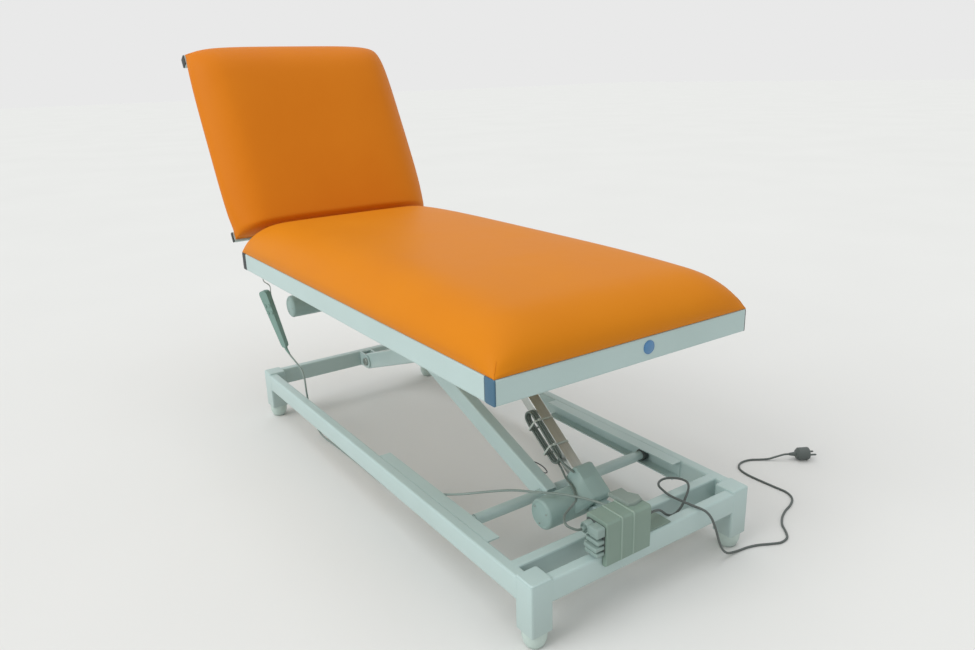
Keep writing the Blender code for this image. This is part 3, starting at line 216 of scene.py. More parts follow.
def carried(section, path, swell=None):
    """Section of (side, up) points carried along a path, its side turned as little as possible at each step;
    swell, where given, scales the section at each point of the path."""
    way = np.gradient(path, axis=0)
    way /= np.linalg.norm(way, axis=1)[:, None]
    start = np.cross(way[0], (0.0, 0.0, 1.0) if abs(way[0][2]) < 0.9 else (1.0, 0.0, 0.0))
    side = [start / np.linalg.norm(start)]
    for ahead in way[1:]:
        flat = side[-1] - ahead * (side[-1] @ ahead)
        side.append(flat / np.linalg.norm(flat))
    side = np.array(side)
    up = np.cross(way, side)
    size = np.ones(len(path)) if swell is None else np.asarray(swell, float)
    across, rise = (size[:, None] * section[None, :, k] for k in (0, 1))
    return loft(path[:, None] + across[..., None] * side[:, None] + rise[..., None] * up[:, None])


def round_section(radius, around=12):
    """Circle as points (side, up)."""
    angles = np.linspace(0.0, 2 * math.pi, around, endpoint=False)
    return radius * np.stack([np.cos(angles), np.sin(angles)], axis=1)


def piece(name, shapes, look, body=None):
    """Object at the origin made of shapes, faces outward, smooth but for its sharp edges."""
    mesh = bpy.data.meshes.new(name)
    starts = np.cumsum([0] + [len(points) for points, _ in shapes])
    faces = [[corner + int(start) for corner in face]
             for start, (_, each) in zip(starts, shapes) for face in each]
    mesh.from_pydata(np.vstack([points for points, _ in shapes]).tolist(), [], faces)
    work = bmesh.new()
    work.from_mesh(mesh)
    bmesh.ops.recalc_face_normals(work, faces=work.faces)
    work.to_mesh(mesh)
    work.free()
    mesh.shade_smooth()
    mesh.set_sharp_from_angle(angle=SHARP_ANGLE)
    mesh.materials.append(look)
    made = bpy.data.objects.new(name, mesh)
    bpy.context.scene.collection.objects.link(made)
    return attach(made, body) if body else made


# Finishes

def linear(colour):
    """Linear RGBA of an sRGB hex colour."""
    channels = np.array([int(colour[i:i + 2], 16) / 255 for i in (1, 3, 5)])
    low, high = channels / 12.92, ((channels + 0.055) / 1.055) ** 2.4
    return (*np.where(channels <= 0.04045, low, high).tolist(), 1.0)


def per(millimetres):
    """Texture scale that repeats once in so many millimetres."""
    return 1000.0 / millimetres


def add(tree, kind, sockets=(), **settings):
    """Node with its settings; each socket named gets a value, or a link where another socket is given."""
    made = tree.nodes.new("ShaderNode" + kind)
    for setting, value in settings.items():
        setattr(made, setting, value)
    for socket, value in dict(sockets).items():
        if isinstance(value, bpy.types.NodeSocket):
            tree.links.new(value, made.inputs[socket])
        else:
            made.inputs[socket].default_value = value
    return made


def new_finish(name):
    """Empty material, its tree, and the Object coordinates that its patterns read."""
    made = bpy.data.materials.new(name)
    made.use_nodes = True
    tree = made.node_tree
    tree.nodes.clear()
    return made, tree, add(tree, "TexCoord").outputs["Object"]


def leathercloth(name, colour, deep):
    """Vinyl leathercloth, calendered and embossed: one strong colour, a faint broad sheen, and a pebble
    grain that roughens it. The grain is drawn at 3 mm, coarser than the real 1 mm, so that it shows."""
    made, tree, place = new_finish(name)
    cloud = add(tree, "TexNoise", {"Vector": place, "Scale": per(220), "Detail": 3.0, "Roughness": 0.55})
    tone = add(tree, "Mix", {0: cloud.outputs["Fac"], 6: linear(deep), 7: linear(colour)}, data_type="RGBA")
    grain = add(tree, "TexVoronoi", {"Vector": place, "Scale": per(3.0)}, feature="SMOOTH_F1")
    pull = add(tree, "TexNoise", {"Vector": place, "Scale": per(90), "Detail": 2.0})
    fine = add(tree, "Bump", {"Height": grain.outputs["Distance"], "Strength": 0.10, "Distance": 0.0006})
    broad = add(tree, "Bump", {"Height": pull.outputs["Fac"], "Strength": 0.18, "Distance": 0.004,
                               "Normal": fine.outputs["Normal"]})
    rough = add(tree, "MapRange", {"Value": cloud.outputs["Fac"], "To Min": 0.40, "To Max": 0.52})
    shader = add(tree, "BsdfPrincipled", {
        "Base Color": tone.outputs[2], "Roughness": rough.outputs["Result"],
        "Normal": broad.outputs["Normal"], "IOR": 1.5, "Specular IOR Level": 0.08})
    add(tree, "OutputMaterial", {"Surface": shader.outputs["BSDF"]})
    return made


def powder_coat(name, colour, shade):
    """Powder-coated steel tube: a pale even coat with a faint orange peel of about 4 mm, a darker greener
    grey low down that is partly a floor dusting and partly painted shade, and rubbed specks."""
    made, tree, place = new_finish(name)
    height = add(tree, "SeparateXYZ", {"Vector": place}).outputs["Z"]
    cloud = add(tree, "TexNoise", {"Vector": place, "Scale": per(140), "Detail": 3.0})
    tone = add(tree, "Mix", {0: cloud.outputs["Fac"], 6: linear(shade), 7: linear(colour)}, data_type="RGBA")
    # Darker greener grey towards the floor: partly a floor dusting, partly painted shade on the low faces.
    dust_and_shade = add(tree, "MapRange", {"Value": height, "From Min": 0.03, "From Max": 0.14, "To Min": 0.35,
                                  "To Max": 0.0})
    dusted_and_shaded = add(tree, "Mix", {0: dust_and_shade.outputs["Result"], 6: tone.outputs[2], 7: linear("#9AA39D")},
                data_type="RGBA")
    speck = add(tree, "TexNoise", {"Vector": place, "Scale": per(9), "Detail": 4.0, "Roughness": 0.65})
    rubbed = add(tree, "MapRange", {"Value": speck.outputs["Fac"], "From Min": 0.70, "From Max": 0.76,
                                    "To Min": 0.0, "To Max": 0.30})
    worn = add(tree, "Mix", {0: rubbed.outputs["Result"], 6: dusted_and_shaded.outputs[2], 7: linear("#83908C")},
               data_type="RGBA")
    peel = add(tree, "TexNoise", {"Vector": place, "Scale": per(4), "Detail": 1.0})
    bump = add(tree, "Bump", {"Height": peel.outputs["Fac"], "Strength": 0.10, "Distance": 0.0005})
    rough = add(tree, "MapRange", {"Value": cloud.outputs["Fac"], "To Min": 0.30, "To Max": 0.44})
    shader = add(tree, "BsdfPrincipled", {
        "Base Color": worn.outputs[2], "Roughness": rough.outputs["Result"], "Normal": bump.outputs["Normal"],
        "IOR": 1.5, "Coat Weight": 0.10, "Coat Roughness": 0.2})
    add(tree, "OutputMaterial", {"Surface": shader.outputs["BSDF"]})
    return made


def moulded_plastic(name, colour, shade, rough_low, rough_high, grit):
    """Moulded plastic with a spark-eroded skin: a matt face of fine grit, its tone drifting a little."""
    made, tree, place = new_finish(name)
    cloud = add(tree, "TexNoise", {"Vector": place, "Scale": per(60), "Detail": 3.0})
    tone = add(tree, "Mix", {0: cloud.outputs["Fac"], 6: linear(shade), 7: linear(colour)}, data_type="RGBA")
    skin = add(tree, "TexNoise", {"Vector": place, "Scale": per(grit), "Detail": 2.0})
    bump = add(tree, "Bump", {"Height": skin.outputs["Fac"], "Strength": 0.16, "Distance": 0.0004})
    rough = add(tree, "MapRange", {"Value": skin.outputs["Fac"], "To Min": rough_low, "To Max": rough_high})
    shader = add(tree, "BsdfPrincipled", {
        "Base Color": tone.outputs[2], "Roughness": rough.outputs["Result"], "Normal": bump.outputs["Normal"],
        "IOR": 1.5})
    add(tree, "OutputMaterial", {"Surface": shader.outputs["BSDF"]})
    return made


def drawn_metal(name, colour, rough_low, rough_high, line, turn):
    """Drawn or extruded metal: bright, with die lines along its length. The lines are noise drawn out fifty
    times along the piece, after a turn about Y that lays it on the X axis."""
    made, tree, place = new_finish(name)
    along = add(tree, "Mapping", {"Vector": place, "Rotation": (0.0, turn, 0.0), "Scale": (50.0, 1.0, 1.0)},
                vector_type="TEXTURE")
    lines = add(tree, "TexNoise", {"Vector": along.outputs["Vector"], "Scale": per(line), "Detail": 3.0})
    tone = add(tree, "Mix", {0: lines.outputs["Fac"], 6: linear(colour), 7: linear("#DADDD9")},
               data_type="RGBA")
    bump = add(tree, "Bump", {"Height": lines.outputs["Fac"], "Strength": 0.05, "Distance": 0.0002})
    rough = add(tree, "MapRange", {"Value": lines.outputs["Fac"], "To Min": rough_low, "To Max": rough_high})
    shader = add(tree, "BsdfPrincipled", {
        "Base Color": tone.outputs[2], "Roughness": rough.outputs["Result"], "Normal": bump.outputs["Normal"],
        "Metallic": 1.0})
    add(tree, "OutputMaterial", {"Surface": shader.outputs["BSDF"]})
    return made


def zinc_plate(name):
    """Bright zinc plating on turned steel: grey metal with a faint cloudy passivation about 12 mm across."""
    made, tree, place = new_finish(name)
    cloud = add(tree, "TexNoise", {"Vector": place, "Scale": per(12), "Detail": 3.0})
    tone = add(tree, "Mix", {0: cloud.outputs["Fac"], 6: linear("#8F9490"), 7: linear("#BFC3BE")},
               data_type="RGBA")
    rough = add(tree, "MapRange", {"Value": cloud.outputs["Fac"], "To Min": 0.28, "To Max": 0.45})
    shader = add(tree, "BsdfPrincipled", {
        "Base Color": tone.outputs[2], "Roughness": rough.outputs["Result"], "Metallic": 1.0})
    add(tree, "OutputMaterial", {"Surface": shader.outputs["BSDF"]})
    return made


def birch_plywood(name):
    """Birch plywood: pale tan face with long grain streaks about 7 mm apart, a dry matt surface."""
    made, tree, place = new_finish(name)
    along = add(tree, "Mapping", {"Vector": place, "Scale": (0.06, 1.0, 0.6)})
    streak = add(tree, "TexNoise", {"Vector": along.outputs["Vector"], "Scale": per(7), "Detail": 5.0,
                                    "Distortion": 0.6})
    tone = add(tree, "Mix", {0: streak.outputs["Fac"], 6: linear("#94703F"), 7: linear("#CDAE7E")},
               data_type="RGBA")
    bump = add(tree, "Bump", {"Height": streak.outputs["Fac"], "Strength": 0.2, "Distance": 0.0006})
    shader = add(tree, "BsdfPrincipled", {
        "Base Color": tone.outputs[2], "Roughness": 0.75, "Normal": bump.outputs["Normal"], "IOR": 1.45})
    add(tree, "OutputMaterial", {"Surface": shader.outputs["BSDF"]})
    return made


def stove_enamel(name, colour, shade):
    """Domed badge filled with glossy enamel: one clear colour under a smooth coat, darker in patches."""
    made, tree, place = new_finish(name)
    pool = add(tree, "TexNoise", {"Vector": place, "Scale": per(16), "Detail": 2.0})
    tone = add(tree, "Mix", {0: pool.outputs["Fac"], 6: linear(shade), 7: linear(colour)}, data_type="RGBA")
    shader = add(tree, "BsdfPrincipled", {
        "Base Color": tone.outputs[2], "Roughness": 0.28, "IOR": 1.5, "Coat Weight": 0.6,
        "Coat Roughness": 0.08})
    add(tree, "OutputMaterial", {"Surface": shader.outputs["BSDF"]})
    return made


# The backrest's copy of the vinyl is a little darker and redder than the seat's: painted shade, as the
# backrest leans away from the top light.
ORANGE = leathercloth("orange_vinyl_leathercloth", "#D7841A", "#D07B14")
ORANGE_BACK_SHADED = leathercloth("orange_vinyl_leathercloth_back_shaded", "#DA7F19", "#D37613")
COAT = powder_coat("powder_coated_steel", "#B9CECC", "#AFC4C1")
HOUSING = moulded_plastic("moulded_abs_housing", "#98B0AB", "#8CA49F", 0.42, 0.58, 2.2)
BOX = moulded_plastic("textured_abs_box", "#84998D", "#7A8F83", 0.46, 0.62, 2.6)
COVER = moulded_plastic("grey_abs_cover", "#8C9A93", "#7F8D86", 0.46, 0.60, 2.4)
# Ribs a lighter grey than the box they stand on: a painted highlight along their raised crests.
HIGHLIT_RIB = moulded_plastic("abs_rib_painted_highlight", "#93A79B", "#899D91", 0.38, 0.52, 2.2)
# The plug grey is set darker than the pale plastic: painted shade over the plugs at the box's end.
PLUG = moulded_plastic("pale_abs_plug", "#90A49E", "#849892", 0.40, 0.55, 2.0)
FOOT = moulded_plastic("soft_pvc_foot", "#C2D2CB", "#B5C6BF", 0.34, 0.48, 3.0)
HANDSET = moulded_plastic("handset_abs", "#80A097", "#75948A", 0.40, 0.54, 1.8)
BUTTON = moulded_plastic("silicone_button", "#84A399", "#7A988E", 0.48, 0.60, 1.6)
NYLON = moulded_plastic("machined_nylon", "#4C5452", "#424947", 0.40, 0.55, 1.8)
JACKET = moulded_plastic("pvc_mains_jacket", "#5C6461", "#515856", 0.42, 0.56, 2.4)
GREY_JACKET = moulded_plastic("pvc_motor_lead_jacket", "#6A7770", "#5E6A64", 0.30, 0.42, 2.4)
PALE_JACKET = moulded_plastic("pvc_handset_lead_jacket", "#8A9993", "#7F8E88", 0.42, 0.56, 2.4)
DARK_CAP = moulded_plastic("black_polyethylene_cap", "#2B3334", "#20272A", 0.40, 0.55, 2.0)
BLUE_CAP = moulded_plastic("blue_grey_polyethylene_cap", "#426C85", "#395F77", 0.36, 0.50, 2.0)
TIE = moulded_plastic("pale_nylon_tie", "#B4BEB6", "#A8B2AA", 0.36, 0.48, 1.4)
ALUMINIUM_LIFT = drawn_metal("extruded_aluminium_lift_tube", "#B9BDB9", 0.34, 0.48, 1.6, LIFT_ANGLE)
ALUMINIUM_BACK = drawn_metal("extruded_aluminium_back_tube", "#B9BDB9", 0.34, 0.48, 1.6, BACK_ACT_ANGLE)
ZINC = zinc_plate("zinc_plated_steel")
PLY = birch_plywood("birch_plywood")
BLUE = stove_enamel("blue_enamel_blank", "#4682B4", "#3B76A4")

FINISHES = {
    "frame_enamel": COAT, "foot_plastic": FOOT, "housing_grey": HOUSING, "box_grey": BOX,
    "bright_tube": ALUMINIUM_LIFT, "zinc_steel": ZINC, "cord_grey": JACKET, "upholstery": ORANGE,
    "plywood": PLY, "handset_grey": HANDSET, "button_pale": BUTTON, "roller_nylon": NYLON,
}


def dress_nodes():
    """Each solid of the frame gets the finish that its slot names."""
    for solid in nodes.values():
        slot = solid.data.materials[0].name.split(".")[0]
        solid.data.materials[0] = FINISHES[slot]
    nodes["backrest_outer_tube"].data.materials[0] = ALUMINIUM_BACK


dress_nodes()


# Solids shown with round shading or softened edges

MERGE = 1e-5
FLAT_ANGLE = math.radians(2)
EDGE_ANGLE = math.radians(35)


def solid_copy(node):
    """Points and triangles of a solid's own mesh, with corners that lie together made one."""
    mesh = nodes[node].data
    flat = np.zeros(len(mesh.vertices) * 3)
    mesh.vertices.foreach_get("co", flat)
    corners = np.zeros(len(mesh.loops), int)
    mesh.loops.foreach_get("vertex_index", corners)
    points = flat.reshape(-1, 3)
    _, first, index = np.unique(np.round(points / MERGE).astype(np.int64), axis=0, return_index=True,
                                return_inverse=True)
    triangles = index.reshape(-1)[corners].reshape(-1, 3)
    whole = (triangles != np.roll(triangles, 1, axis=1)).all(axis=1)
    return points[first], triangles[whole].tolist()


def turned_copy(node):
    """Round solid in its own place, its facets shaded as one surface."""
    made = piece(node + "_turned", [solid_copy(node)], nodes[node].data.materials[0], nodes[node]["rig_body"])
    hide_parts(node)


def softened_copy(node, width, shape=None):
    """Moulded solid in its own place with flat faces joined and its edges rolled over by a width; shape,
    where given, first moves its points."""
    points, faces = solid_copy(node)
    if shape:
        points = shape(points)
    made = piece(node + "_moulded", [(points, faces)], nodes[node].data.materials[0])
    work = bmesh.new()
    work.from_mesh(made.data)
    bmesh.ops.dissolve_limit(work, angle_limit=FLAT_ANGLE, verts=work.verts, edges=work.edges)
    work.to_mesh(made.data)
    work.free()
    edge = made.modifiers.new("soft_edge", "BEVEL")
    edge.width = width
    edge.segments = 3
    edge.limit_method = "ANGLE"
    edge.angle_limit = EDGE_ANGLE
    edge.harden_normals = True
    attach(made, nodes[node]["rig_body"])
    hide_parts(node)


TURNED = ["lift_motor", "backrest_motor", "lift_head_shaft", "lift_foot_shaft", "lift_rod", "backrest_rod",
          "arm_pivot_pin", "lift_pivot_pin", "bed_pivot_pin", "mains_strain_relief", "handset_hook"]
TURNED += ["foot_%s_%s" % (end, side) for end in ("head", "foot") for side in ("left", "right")]
TURNED += ["%s_roller_%s" % (where, side) for where in ("bed", "base") for side in ("left", "right")]
TURNED += ["handset_button_%d" % number for number in (1, 2, 3, 4)]

HANDSET_TOP = np.array((-0.3975, -0.305, 0.430))
HANDSET_LOW = np.array((-0.3695, -0.268, 0.256))
HANDSET_TURN = math.radians(22)


def handset_axes():
    """Columns of the handset's own frame: a turn about its length, a lean in about X, then a lean to the
    foot end about Y."""
    drop = HANDSET_LOW - HANDSET_TOP
    lean_in = math.atan2(drop[1], -drop[2])
    lean_foot = -math.asin(drop[0] / np.linalg.norm(drop))
    c, s = math.cos(lean_in), math.sin(lean_in)
    lean = np.array(((1.0, 0.0, 0.0), (0.0, c, -s), (0.0, s, c)))
    c, s = math.cos(HANDSET_TURN), math.sin(HANDSET_TURN)
    return axes(lean_foot) @ lean @ np.array(((c, -s, 0.0), (s, c, 0.0), (0.0, 0.0, 1.0)))


def handset_taper(points):
    """Handset's lower end drawn in over a stretch of 50 mm, in step with the way down it."""
    start, stretch = 0.130, 0.050
    own = (points - HANDSET_TOP) @ handset_axes()
    share = np.clip((-own[:, 2] - start) / stretch, 0.0, 1.0)
    own[:, 0] *= 1 - 0.25 * share
    own[:, 1] *= 1 - 0.20 * share
    return own @ handset_axes().T + HANDSET_TOP


for round_node in TURNED:
    turned_copy(round_node)
softened_copy("handset_shell", 0.0028, handset_taper)
softened_copy("control_box", 0.0035)
softened_copy("backrest_gearbox", 0.0025)


# Cords, on the routes of the part's source

def from_foot(route):
    """Route points with x measured from the foot end of the bed, in the frame."""
    return np.array(route, float) + (FOOT_X, 0.0, 0.0)


FLOOR_MAINS = MAINS_R + SLIP
FLOOR_LEAD = LEAD_R + SLIP
BAR_TOP = 0.145 + MAINS_R + SLIP
MAINS_EXIT = (0.038, -0.015 + 2 * SLIP + 0.034, 0.172)
MAINS_ROUTE = [
    MAINS_EXIT, (0.038, 0.0265, 0.172), (0.0375, 0.034, 0.1715), (0.0350, 0.052, 0.1645),
    (0.0250, 0.083, 0.1385), (0.0155, 0.114, 0.1225), (0.0105, 0.142, 0.1275), (0.0045, 0.1640, 0.1450),
    (-0.0050, 0.1810, 0.1555), (-0.0195, 0.1915, 0.1580), (-0.0375, 0.1940, 0.1560),
    (-0.0540, 0.1870, 0.1540), (-0.0640, 0.1720, 0.1535), (-0.0632, 0.1533, 0.1530),
    (-0.0520, 0.1388, 0.1530), (-0.0350, 0.1322, 0.1525), (-0.0130, 0.1315, BAR_TOP + 0.001),
    (0.015, 0.134, BAR_TOP + 0.001), (0.043, 0.139, BAR_TOP + SLIP),
    (0.0610, 0.1428, BAR_TOP + SLIP), (0.0735, 0.1465, 0.1452), (0.0825, 0.1512, 0.1353),
    (0.0865, 0.1580, 0.1180), (0.0860, 0.170, 0.0910), (0.0820, 0.186, 0.0600), (0.0770, 0.205, 0.0330),
    (0.0730, 0.226, 0.0145), (0.0710, 0.250, 0.0060), (0.0720, 0.274, FLOOR_MAINS),
    (0.0760, 0.298, FLOOR_MAINS), (0.084, 0.321, FLOOR_MAINS), (0.096, 0.343, FLOOR_MAINS),
    (0.107, 0.368, FLOOR_MAINS), (0.1035, 0.394, FLOOR_MAINS), (0.086, 0.413, FLOOR_MAINS),
    (0.064, 0.431, FLOOR_MAINS), (0.046, 0.456, FLOOR_MAINS), (0.032, 0.487, FLOOR_MAINS),
    (0.022, 0.522, FLOOR_MAINS), (0.006, 0.550, FLOOR_MAINS), (-0.02, 0.564, FLOOR_MAINS),
    (-0.055, 0.563, FLOOR_MAINS), (-0.1, 0.561, FLOOR_MAINS), (-0.14, 0.562, FLOOR_MAINS),
    (-0.1705, 0.573, FLOOR_MAINS), (-0.1865, 0.599, FLOOR_MAINS), (-0.184, 0.630, FLOOR_MAINS),
    (-0.169, 0.655, FLOOR_MAINS), (-0.1545, 0.673, 0.0050), (-0.1425, 0.6905, 0.0110),
    (-0.1320, 0.7050, 0.0165), (-0.1280, 0.7112, 0.0175), (-0.1235, 0.7185, 0.0175),
]
HANDSET_ROUTE = [
    (-1.1675, -0.2665, 0.2485), (-1.152, -0.262, 0.232), (-1.122, -0.259, 0.220), (-1.086, -0.258, 0.207),
    (-1.067, -0.258, 0.184), (-1.062, -0.258, 0.145), (-1.058, -0.255, 0.100), (-1.052, -0.247, 0.050),
    (-1.035, -0.237, 0.014), (-1, -0.230, FLOOR_LEAD), (-0.93, -0.226, FLOOR_LEAD),
    (-0.84, -0.223, FLOOR_LEAD), (-0.74, -0.222, FLOOR_LEAD), (-0.64, -0.224, 0.010), (-0.54, -0.222, 0.034),
    (-0.426, -0.231, 0.0870), (-0.3313, -0.2395, 0.1349), (-0.2605, -0.2345, 0.1669),
    (-0.2200, -0.2020, 0.1790), (-0.1820, -0.163, 0.1867), (-0.145, -0.128, 0.187),
    (-0.098, -0.085, 0.187), (-0.048, -0.052, 0.184), (-0.01, -0.040, 0.183), (0.015 - SLIP, -0.038, 0.183),
]
BACKREST_ROUTE = [
    (-1.2885, -0.095, 0.3970), (-1.2765, -0.0965, 0.4015), (-1.2670, -0.106, 0.4050),
    (-1.2640, -0.122, 0.4120), (-1.2680, -0.138, 0.4260), (-1.2755, -0.147, 0.4450),
    (-1.2795, -0.150, 0.4640), (-1.2800, -0.150, 0.4805 - SLIP),
]
LIFT_LEAD_START = (0.031, BOX_LEFT - SLIP - 0.0245, 0.198)


def lift_route():
    """Lift lead: from its plug to the actuator's tube, then nearly three long loops side by side, each two
    straight runs and two half circles, and back into the housing."""
    pitch, bend = 0.0058, 0.0165
    near, far = 0.155, 0.255
    straight = far - near
    half = math.pi * bend
    around = 2 * straight + 2 * half
    turns = 3 - half / around
    first_y = -0.015 - LEAD_R - 2 * SLIP
    last_y = first_y - pitch * turns
    turn = np.linspace(0.0, turns, int(24 * turns) + 1)
    way = turn % 1.0 * around
    out_angle = (way - straight) / bend - math.pi / 2
    back_angle = (way - 2 * straight - half) / bend + math.pi / 2
    legs = [way < straight, way < straight + half, way < 2 * straight + half]
    x = np.select(legs, [near + way, far + bend * np.cos(out_angle), far - (way - straight - half)],
                  near + bend * np.cos(back_angle))
    z = np.select(legs, [np.full_like(way, -bend), bend * np.sin(out_angle), np.full_like(way, bend)],
                  bend * np.sin(back_angle))
    hank = np.column_stack([-x, first_y - pitch * turn, z])
    lead_in = [(-0.040, -0.060, 0.030), (-0.070, -0.042, 0.0145), (-0.100, -0.027, -0.009)]
    lead_in.append((-0.128, first_y, -bend))
    lead_out = [(-0.128, last_y + 0.003, bend + 0.0006), (-0.112, -0.0265, 0.0182)]
    lead_out.append((-0.098, -0.018 - LEAD_R, 0.019))
    on_tube = np.vstack([lead_in, hank, lead_out]) @ axes(LIFT_ANGLE).T + np.array(LIFT_PIVOT)
    start = from_foot([LIFT_LEAD_START, (0.0290, -0.168, 0.201), (0.0145, -0.179, 0.208),
                       (-0.006, -0.166, 0.2125), (-0.036, -0.118, 0.207)])
    return np.vstack([start, on_tube])


def cord(name, route, radius, count, look):
    """Round jacket carried along a smooth route that rests on the floor and never dips into it."""
    path, length = smooth_route(route, count)
    path[:, 2] = np.maximum(path[:, 2], radius + SLIP)
    made = piece(name, [carried(round_section(radius), path)], look)
    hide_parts(name.replace("_jacket", ""))
    return made, path, length


def lay_cords():
    """The four leads: mains to its plug, handset to the box, and one to each motor."""
    made, path, length = cord("mains_lead_jacket", from_foot(MAINS_ROUTE), MAINS_R, 300, JACKET)
    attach(made, "base")
    made, path, length = cord("handset_lead_jacket", from_foot(HANDSET_ROUTE)[::-1], LEAD_R, 240, PALE_JACKET)
    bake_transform(made)
    made, path, length = cord("lift_lead_jacket", lift_route(), LEAD_R, 560, GREY_JACKET)
    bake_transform(made)
    made, path, length = cord("backrest_lead_jacket", from_foot(BACKREST_ROUTE), LEAD_R, 60, GREY_JACKET)
    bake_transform(made)


lay_cords()


# Pads

PAD_BLUNT = 2.35
PAD_STEP = 0.013
PAD_GIVE = 0.003
PAD_TUCK = 0.0012
TUCK_HIGH = 0.024
TUCK_DEEP = 0.02
BOARD_INSET = 0.024
POCKET_MARGIN = 0.008
POCKET_HIGH = 0.0128
SEAM_R = 0.0008
SEAM_ROWS = 6
BLOWN_FRAMES = 20
# Length, width, thickness, crown, and the share of the crown that is kept up to the foot end
SEAT_SIZE = (1.295, 0.650, 0.080, 0.0235, 0.0)
BACK_SIZE = (0.608, 0.650, 0.084, 0.028, 0.75)
# How far in from the head end, the foot end and the sides the top rounds over
SEAT_ROUNDS = (0.080, 0.109, 0.118)
BACK_ROUNDS = (0.105, 0.024, 0.095)
# How far out the sides, the head end and the foot end swell
SEAT_SWELL = (0.007, 0.0, 0.007)
BACK_SWELL = (0.015, 0.014, 0.008)


def pad_lines(span, low, high, step):
    """Grid lines across a pad: close together over the two widths where its edges round over, then even."""
    angle = math.pi / 2 * np.linspace(0.0, 1.0, 13) ** 1.15
    edge = 1 - np.clip(np.cos(angle), 0.0, 1.0) ** (2 / PAD_BLUNT)
    count = max(3, round((span - low - high) / step))
    middle = np.linspace(low - span / 2, span / 2 - high, count + 1)[1:-1]
    return np.concatenate([-span / 2 + low * edge, middle, span / 2 - high * edge[::-1]])


def pad_rise(share):
    """Share of the full height at a share of the rounding's width in from the edge: a blunt quarter oval."""
    return (1 - (1 - np.clip(share, 0.0, 1.0)) ** PAD_BLUNT) ** (1 / PAD_BLUNT)


def pad_form(length, width, thick, crown, kept, rounds, swell, step):
    """Upper skin as height over a grid: the product of its edges' rises times the thickness and a crown that
    stays full nearly to the sides, and to the foot end by its own share. Half-way up, the sides and ends
    swell out by a sine of the height; at the rim the cover tucks under. The under skin is flat on the same
    lines. Gives points, faces, what is held, how far in each under point lies, and the grid's size."""
    head, foot, side = rounds
    xs, ys = pad_lines(length, head, foot, step), pad_lines(width, side, side, step)
    x, y = np.meshgrid(xs, ys, indexing="ij")
    edge_x, edge_y = length / 2 - np.abs(x), width / 2 - np.abs(y)
    in_x, in_y = np.minimum((length / 2 + x) / head, (length / 2 - x) / foot), edge_y / side
    share = pad_rise((length / 2 + x) / head) * pad_rise((length / 2 - x) / foot) * pad_rise(in_y)
    along, across = 1 - (2 * x / length) ** 4, 1 - np.abs(2 * y / width) ** 4.5
    height = share * (thick + crown * np.where(x > 0, kept + (1 - kept) * along, along) * across)
    belly = np.sin(math.pi * share ** 0.75)
    ends = np.where(x < 0, swell[1], swell[2])
    out_x = ends * belly * np.clip(1 - in_x, 0.0, 1.0) * (1 - (2 * y / width) ** 4)
    out_y = swell[0] * belly * np.clip(1 - in_y, 0.0, 1.0) * along
    upper = np.stack([x + np.sign(x) * out_x, y + np.sign(y) * out_y, height], axis=-1).reshape(-1, 3)
    rows, columns = len(xs), len(ys)
    index = np.arange(rows * columns).reshape(rows, columns)
    inside = np.zeros((rows, columns), bool)
    inside[1:-1, 1:-1] = True
    under_index = index.copy()
    under_index[inside] = rows * columns + np.arange(inside.sum())
    under = np.stack([x[inside], y[inside], np.zeros(inside.sum())], axis=-1)
    top = np.array(grid_faces(rows, columns, False))
    low = under_index.ravel()[top][:, ::-1]
    points = np.vstack([upper, under])
    rim_x = np.concatenate([edge_x.ravel(), edge_x[inside]])
    rim_y = np.concatenate([edge_y.ravel(), edge_y[inside]])
    tuck = PAD_TUCK * np.clip(1 - points[:, 2] / TUCK_HIGH, 0.0, 1.0) ** 2
    points[:, 0] -= np.sign(points[:, 0]) * tuck * np.clip(1 - rim_x / TUCK_DEEP, 0.0, 1.0)
    points[:, 1] -= np.sign(points[:, 1]) * tuck * np.clip(1 - rim_y / TUCK_DEEP, 0.0, 1.0)
    held = np.concatenate([(~inside).ravel(), np.ones(len(under), bool)])
    depth = np.concatenate([np.zeros(rows * columns), np.minimum(edge_x, edge_y)[inside]])
    return points, np.vstack([top, low]).tolist(), held, depth, (rows, columns)


def corner_seams(grid):
    """Sewn corners: a thin welt carried up the grid's four diagonals, where both edges round over alike."""
    last = np.array(grid.shape[:2]) - 1
    steps = np.arange(SEAM_ROWS)
    welts = []
    for from_x in (0, 1):
        for from_y in (0, 1):
            rows = last[0] - steps if from_x else steps
            columns = last[1] - steps if from_y else steps
            path, _ = smooth_route(grid[rows, columns], 40)
            welts.append(carried(round_section(SEAM_R, 8), path, np.linspace(1.0, 0.04, 40) ** 0.5))
    return welts


def stuffed(made, held, limit):
    """Cover blown out against its held underside for some frames, no point moving further than the limit."""
    scene = bpy.context.scene
    start = np.zeros(len(made.data.vertices) * 3)
    made.data.vertices.foreach_get("co", start)
    group = made.vertex_groups.new(name="held")
    group.add(np.flatnonzero(held).tolist(), 1.0, "REPLACE")
    cloth = made.modifiers.new("cover", "CLOTH")
    cloth.settings.quality = 5
    cloth.settings.mass = 0.4
    cloth.settings.tension_stiffness = 25.0
    cloth.settings.compression_stiffness = 25.0
    cloth.settings.bending_stiffness = 1.2
    cloth.settings.use_pressure = True
    cloth.settings.uniform_pressure_force = 4.0
    cloth.settings.vertex_group_mass = group.name
    cloth.settings.effector_weights.gravity = 0.0
    cloth.point_cache.frame_start = 1
    cloth.point_cache.frame_end = BLOWN_FRAMES
    for step in range(1, BLOWN_FRAMES + 1):
        scene.frame_set(step)
    blown = np.zeros_like(start)
    sim = made.evaluated_get(bpy.context.evaluated_depsgraph_get())
    sim.data.vertices.foreach_get("co", blown)
    made.modifiers.remove(cloth)
    made.vertex_groups.remove(group)
    scene.frame_set(1)
    moved = (blown - start).reshape(-1, 3)
    far = np.linalg.norm(moved, axis=1, keepdims=True)
    moved *= limit * np.tanh(far / limit) / np.maximum(far, 1e-9)
    made.data.vertices.foreach_set("co", (start + moved.ravel()).astype(np.float32))
    made.data.update()


